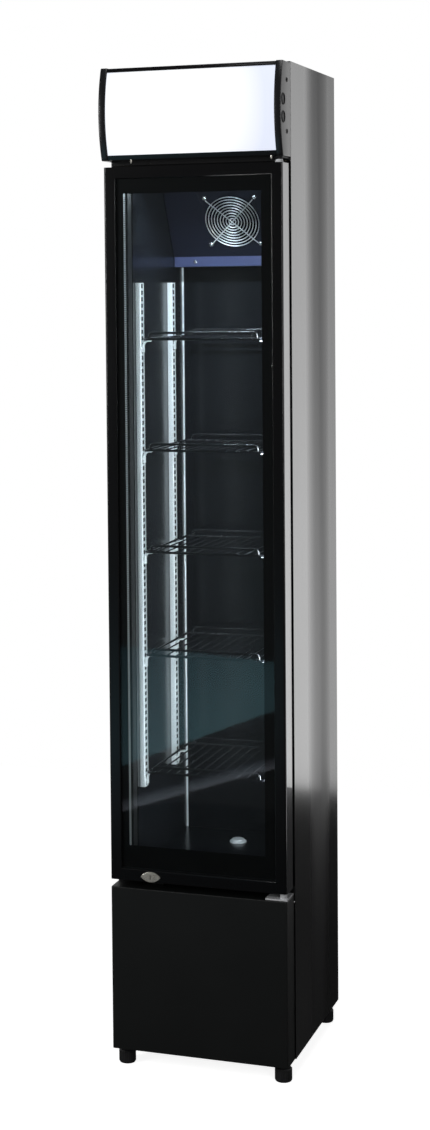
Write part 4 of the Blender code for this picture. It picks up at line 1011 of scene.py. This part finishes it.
# %% Corner strips
LINER_HALF, LINER_BACK, FLOOR_TOP, COVER_LOW = 0.138, 0.179, 0.388, 1.5705
STRIP_GAP, STRIP_WIDE, STRIP_NOSE, STRIP_RAISE, STRIP_DROP = 0.0003, 0.0030, 0.0026, 0.0005, 0.001
for name, hand in (("left", -1), ("right", 1)):
    wall_x = hand * (LINER_HALF - STRIP_GAP)
    nose_x = hand * (LINER_HALF - STRIP_GAP - STRIP_WIDE)
    nose_y = LINER_BACK - STRIP_GAP - STRIP_WIDE
    strip = open_block(f"corner_strip_{name}", (min(wall_x, nose_x), nose_y, FLOOR_TOP + STRIP_RAISE),
                       (max(wall_x, nose_x), LINER_BACK - STRIP_GAP, COVER_LOW - STRIP_DROP))
    pick("EDGE", lambda at, way: upright(way) and abs(at.x - nose_x) < NEAR and at.y < nose_y + NEAR)
    bevel_edges(STRIP_NOSE, 6)
    settle(strip, "cabinet", "aluminium", smooth=50.0)
print("corner strips: 2")

# %% [markdown]
# ## Fan
#
# The fan sits in a sloping cover. Its guard is a set of plated rings welded to two crossed bars, and each bar
# ends in an eye under a screw. The rotor is a round hub with seven broad twisted blades. Both are built flat,
# with the fan's axis along Z, and then laid on the slope.

# %% Guard
SLOPE = math.radians(28.75)
FAN_PLACE = Matrix.Translation((0, 0.08506, 1.66219)) @ Matrix.Rotation(QUARTER + SLOPE, 4, "X")
FAN_BORE, EYE_REACH = 0.0565, 0.105 / math.sqrt(2)
GUARD_RINGS, GUARD_WIRE, GUARD_RISE, FIRST_RING, RING_MARGIN = 9, 0.0022, 0.0049, 0.0070, 0.0011
BAR_SHORT, BAR_BEND, BAR_ANGLE, BAR_LIFT, EYE_LIFT = 0.008, 0.006, 0.55, 0.8, 0.0002
DIAGONALS = [math.pi / 4 + quarter * QUARTER for quarter in range(4)]


def lay_on_slope(piece):
    put_on_bench(piece)
    piece.matrix_world = FAN_PLACE
    apply_place()


parts = []
for index in range(GUARD_RINGS):
    reach = FIRST_RING + index * (FAN_BORE - RING_MARGIN - FIRST_RING) / (GUARD_RINGS - 1)
    hoop = open_ring("guard_ring", (reach, 0, GUARD_RISE), (0, 1, 0), GUARD_WIRE / 2, 6, False)
    swing(math.tau, (0, 0, 0), (0, 0, 1), 56)
    tidy_mesh()
    parts.append(hoop)
for angle in DIAGONALS:
    way = Vector((math.cos(angle), math.sin(angle), 0))
    across = Vector((-way.y, way.x, 0))
    parts.append(draw_wire("guard_bar", (0, 0, GUARD_RISE + GUARD_WIRE * BAR_LIFT), way, GUARD_WIRE / 2,
                           [("go", EYE_REACH - BAR_SHORT), ("bend", BAR_ANGLE, BAR_BEND, across),
                            ("bend", -BAR_ANGLE, BAR_BEND, across)]))
guard = join(*parts)
guard.name = "wire_guard"
lay_on_slope(guard)
settle(guard, "cabinet", "plated_wire", ("fan_guard",), smooth=60.0)
out_way = (FAN_PLACE.to_3x3() @ Vector((0, 0, 1))).normalized()
for number, angle in enumerate(DIAGONALS, 1):
    spot = FAN_PLACE @ Vector((EYE_REACH * math.cos(angle), EYE_REACH * math.sin(angle), EYE_LIFT))
    pan_screw(f"guard_screw_{number}", spot, out_way, "chrome", radius=0.0052, height=0.0046)
print("guard:", len(guard.data.polygons), "faces")

# %% Rotor
HUB_RADIUS, HUB_LOW, HUB_HIGH, HUB_ROUND, BLADES = 0.021, -0.0215, -0.0021, 0.002, 7
HUB_NARROW, HUB_RIM, HUB_DISH = 0.90, 0.004, 0.0006
BLADE_ROOT, BLADE_REACH, BLADE_HALF, BLADE_THICK, BLADE_STEPS = 0.019, 0.0535, 0.0135, 0.0012, 6
ROOT_SHARE, TIP_GROWTH, ROOT_TWIST, TWIST_LOSS = 0.85, 0.55, 38, 15
hub = open_ring("fan_hub", (0, 0, HUB_LOW), (0, 0, 1), HUB_RADIUS, 40)
pull((0, 0, HUB_HIGH - HUB_LOW - HUB_ROUND))
pull((0, 0, HUB_ROUND))
resize((HUB_NARROW, HUB_NARROW, 1))
bpy.ops.mesh.inset(thickness=HUB_RIM)
shift((0, 0, -HUB_DISH))
parts = [hub]
for index in range(BLADES):
    blade = open_block("fan_blade", (BLADE_ROOT, -BLADE_HALF, -BLADE_THICK / 2),
                       (BLADE_REACH, BLADE_HALF, BLADE_THICK / 2))
    bpy.ops.mesh.subdivide(number_cuts=BLADE_STEPS - 1)
    for step in range(BLADE_STEPS + 1):
        share = step / BLADE_STEPS
        reach = BLADE_ROOT + share * (BLADE_REACH - BLADE_ROOT)
        pick("VERT", lambda at, way: abs(at.x - reach) < NEAR)
        resize((1, ROOT_SHARE + TIP_GROWTH * share, 1))
        twist = math.radians(ROOT_TWIST - TWIST_LOSS * share)
        bpy.ops.transform.rotate(value=-twist, orient_axis="X", center_override=(0, 0, 0))
    select_all()
    shift((0, 0, (HUB_LOW + HUB_HIGH) / 2))
    close_mesh()
    blade.rotation_euler = (0, 0, index * math.tau / BLADES)
    apply_place()
    parts.append(blade)
rotor = join(*parts)
rotor.name = "bladed_rotor"
lay_on_slope(rotor)
settle(rotor, "fan", "rotor_black", ("fan_rotor",))
print("rotor:", len(rotor.data.polygons), "faces")

# %% [markdown]
# ## Small bright things
#
# Two screws hold the cooler's cover by its lip, two more show under the sign box, and a white nylon washer
# carries the top hinge. They are small, but they are the brightest points of a black object, so the eye finds
# them.

# %% Cover screws, sign screws and hinge washer
LIP_FACE_Y, LIP_MIDDLE, SIGN_SCREW_Y, SIGN_SCREW_Z = 0.1244, 1.5805, -0.1925, 1.7734
for number, x in enumerate((-0.092, 0.092), 1):
    pan_screw(f"cover_screw_{number}", (x, LIP_FACE_Y, LIP_MIDDLE), (0, -1, 0), "chrome",
              radius=0.0040, height=0.00248)
for number, x in enumerate((-0.121, 0.156), 1):
    pan_screw(f"sign_screw_{number}", (x, SIGN_SCREW_Y, SIGN_SCREW_Z), (0, 0, -1), "nickel",
              radius=0.0020, height=0.0070)
HINGE_X, HINGE_Y, WASHER_LOW, WASHER_RADIUS = 0.1675, -0.179, 1.7606, 0.0080
WASHER_STEPS = ((0.0020, 1.0), (0.0024, 0.55), (0.0030, 0.70))
washer = open_ring("hinge_washer", (HINGE_X, HINGE_Y, WASHER_LOW), (0, 0, 1), WASHER_RADIUS, 32)
for rise, narrowing in WASHER_STEPS:
    pull((0, 0, rise))
    resize((narrowing, narrowing, 1), (HINGE_X, HINGE_Y, 0))
settle(washer, "cabinet", "white_plastic")
print("small bright pieces: 5")

# %% [markdown]
# ## Levelling feet
#
# A foot is a ribbed rubber pad on a threaded stud, with a hexagon at its top for a spanner. The ribs come
# from insetting every face of the pad's side.

# %% Feet
PAD_FOOT, PAD_RADIUS, NUT_LOW, NUT_HIGH, NUT_RADIUS = 0.0150, 0.0168, 0.026, 0.0355, 0.0125
RIB_LOW, RIB_HIGH, RIB_EDGE, RIB_DEEP, SIDEWAYS = 0.004, 0.023, 0.0005, 0.0006, 0.2
STUD_RADIUS, THREADS, THREAD_STEP, THREAD_ROOT = 0.0038, 8, 0.0010, 0.86
PAD_STEPS = ((0.003, PAD_RADIUS / PAD_FOOT), (0.021, 1.0), (0.002, 0.90))
THREAD_STEPS = ((THREAD_STEP, THREAD_ROOT), (THREAD_STEP, 1 / THREAD_ROOT)) * THREADS
for place in ("front_left", "front_right", "rear_left", "rear_right"):
    node = f"foot_{place}"
    low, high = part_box(node)
    x, y = (low[0] + high[0]) / 2, (low[1] + high[1]) / 2
    pad = open_ring(f"{node}_pad", (x, y, 0.0), (0, 0, 1), PAD_FOOT, 28)
    for rise, factor in PAD_STEPS:
        pull((0, 0, rise))
        resize((factor, factor, 1), (x, y, 0))
    pick("FACE", lambda at, way: abs(way.z) < SIDEWAYS and RIB_LOW < at.z < RIB_HIGH)
    bpy.ops.mesh.inset(thickness=RIB_EDGE, depth=-RIB_DEEP, use_individual=True)
    nut = open_ring("foot_nut", (x, y, NUT_LOW), (0, 0, 1), NUT_RADIUS, 6)
    pull((0, 0, NUT_HIGH - NUT_LOW))
    stud = open_ring("foot_stud", (x, y, NUT_HIGH), (0, 0, 1), STUD_RADIUS, 16)
    for rise, factor in THREAD_STEPS:
        pull((0, 0, rise))
        resize((factor, factor, 1), (x, y, 0))
    settle(join(pad, nut, stud), f"{place}_foot", "rubber", (node,), smooth=35.0)
print("feet: 4")

# %% [markdown]
# ## Floor, lamps and the white room
#
# A picture of a black cabinet is made by what the cabinet mirrors. The floor and the room are white where
# the camera looks straight at them, and the floor keeps a soft shadow. For mirrored rays the room is bright
# behind the cabinet, which draws the grey of its side, and dark in front, which keeps the door black. Two lit
# sheets lie on the ground and are seen only in mirrors: they give the pale slanting reflection low in the
# glass. Soft lamps stand in front and above, and cool lamps inside light the rails and shelves.


# %% Lit sheets on the ground
def glow_card(name, first, second, width, near, far):
    """A lit sheet on the ground, seen only in mirrors: its near edge runs from first to second."""
    finish = Finish(name)
    run = Vector((second[0] - first[0], second[1] - first[1], 0))
    out = Vector((run.y, -run.x, 0)).normalized()
    spot = finish.node("ShaderNodeVectorMath", {"operation": "DOT_PRODUCT"}, {0: finish.place(), 1: out},
                       out="Value")
    fade = ((spot - out.dot(Vector((*first, 0)))) * (1 / width)).least(0.0).most(1.0)
    colour = finish.tint(fade, near, far)
    finish.show(finish.node("ShaderNodeEmission", sockets={"Color": colour, "Strength": 1.0}))
    card = open_sheet(name)
    resize((run.length, width, 1))
    close_mesh()
    middle = Vector((*first, 0.002)) + run / 2 + out * width / 2
    turned = Matrix((run.normalized(), -out, (0, 0, 1))).transposed().to_4x4()
    card.matrix_world = Matrix.Translation(middle) @ turned
    apply_place()
    card.data.materials.append(finish.material)
    card.visible_camera = False
    card.visible_diffuse = False
    card.visible_shadow = False
    card.visible_transmission = False


glow_card("pale_ground", (-1.21, -1.73), (-0.55, -4.37), 1.6, (0.34, 0.60, 0.68), (0.10, 0.16, 0.20))
glow_card("pale_line", (-0.86, -1.92), (-0.45, -2.86), 0.10, (0.75, 0.75, 0.85), (0.10, 0.10, 0.12))
print("lit sheets: 2")

# %% Floor
FLOOR_WIDE, FLOOR_DEEP, FLOOR_MIDDLE_Y = 3.6, 4.3, -0.05
ground = Finish("floor_white")
plain = ground.node("ShaderNodeBsdfDiffuse", sockets={"Color": (0.08, 0.08, 0.08, 1.0)})
white = ground.node("ShaderNodeEmission", sockets={"Color": (1, 1, 1, 1), "Strength": 0.87})
chalk = ground.node("ShaderNodeBsdfDiffuse", sockets={"Color": (0.85, 0.85, 0.85, 1.0)})
both = ground.node("ShaderNodeAddShader", sockets={0: chalk, 1: white})
seen = ground.node("ShaderNodeLightPath", out="Is Camera Ray")
ground.show(ground.node("ShaderNodeMixShader", sockets={0: seen, 1: plain, 2: both}))
floor = open_sheet("floor")
resize((FLOOR_WIDE, FLOOR_DEEP, 1))
shift((0, FLOOR_MIDDLE_Y, 0))
close_mesh()
floor.data.materials.append(ground.material)
print("floor:", FLOOR_WIDE, "by", FLOOR_DEEP, "m")

# %% Lamps
COOL, PALE = (0.80, 0.87, 1.0), (0.93, 0.95, 1.0)


def soft_lamp(name, at, aim, size, power, colour=(1, 1, 1), spread=180.0):
    light = bpy.data.lights.new(name, "AREA")
    light.shape = "RECTANGLE"
    light.size, light.size_y = size
    light.energy = power
    light.color = colour
    light.spread = math.radians(spread)
    holder = bpy.data.objects.new(name, light)
    bpy.context.scene.collection.objects.link(holder)
    holder.location = at
    holder.rotation_euler = (Vector(aim) - Vector(at)).to_track_quat("-Z", "Y").to_euler()
    holder.visible_camera = False


soft_lamp("front_lamp", (-2.6, -3.0, 1.9), (0, 0, 1.3), (0.4, 1.8), 55.0)
soft_lamp("top_lamp", (0.4, -1.4, 4.2), (0, 0, 1.0), (1.6, 1.6), 30.0)
soft_lamp("inside_lamp", (0, -0.114, 1.7150), (0, 0.02, 1.43), (0.21, 0.016), 1.7, COOL, 104.0)
soft_lamp("right_strip", (0.130, -0.132, 1.000), (-0.13, 0.06, 1.000), (0.010, 1.12), 2.4, PALE, 120.0)
soft_lamp("left_strip", (-0.120, -0.1365, 1.000), (-0.14, -0.10, 1.000), (0.004, 1.10), 0.12, PALE)
soft_lamp("right_front_lamp", (2.4, -3.2, 1.7), (0, 0, 1.2), (0.5, 1.6), 26.0)
print("lamps:", len(bpy.data.lights))

# %% Room
DARK_FRONT, SOFT_AMBIENT, HIGH_SHARE, RISE_BLUR, BACK_BLUR = 0.085, 0.08, 0.66, 0.12, 0.15


class Room(Finish):
    """The world around the stage, whose nodes are added as a finish's are."""

    def __init__(self, name):
        self.world = bpy.data.worlds.new(name)
        self.world.use_nodes = True
        self.tree = self.world.node_tree
        self.shader = self.tree.nodes["Background"]

    def towards(self, axis):
        way = self.node("ShaderNodeTexCoord", out="Generated")
        return self.node("ShaderNodeSeparateXYZ", sockets={0: way}, out=axis)

    def ramp(self, value, blur, low, high):
        return self.node("ShaderNodeMapRange", sockets={0: value, 1: -blur, 2: blur, 3: low, 4: high})

    def choose(self, ray, otherwise, seen):
        """One strength for a kind of ray, and another for the rest."""
        kind = self.node("ShaderNodeLightPath", out=ray)
        return self.node("ShaderNodeMix", sockets={0: kind, 2: otherwise, 3: seen})


room = Room("room")
behind = room.ramp(room.towards("Y"), BACK_BLUR, DARK_FRONT,
                   room.ramp(room.towards("Z"), RISE_BLUR, 1.0, HIGH_SHARE))
mirrored = room.choose("Is Glossy Ray", SOFT_AMBIENT, behind)
room.surface({"Color": (1, 1, 1, 1), "Strength": room.choose("Is Camera Ray", mirrored, 1.0)})
bpy.context.scene.world = room.world
bpy.context.scene.view_settings.view_transform = "Standard"
print("room lit")
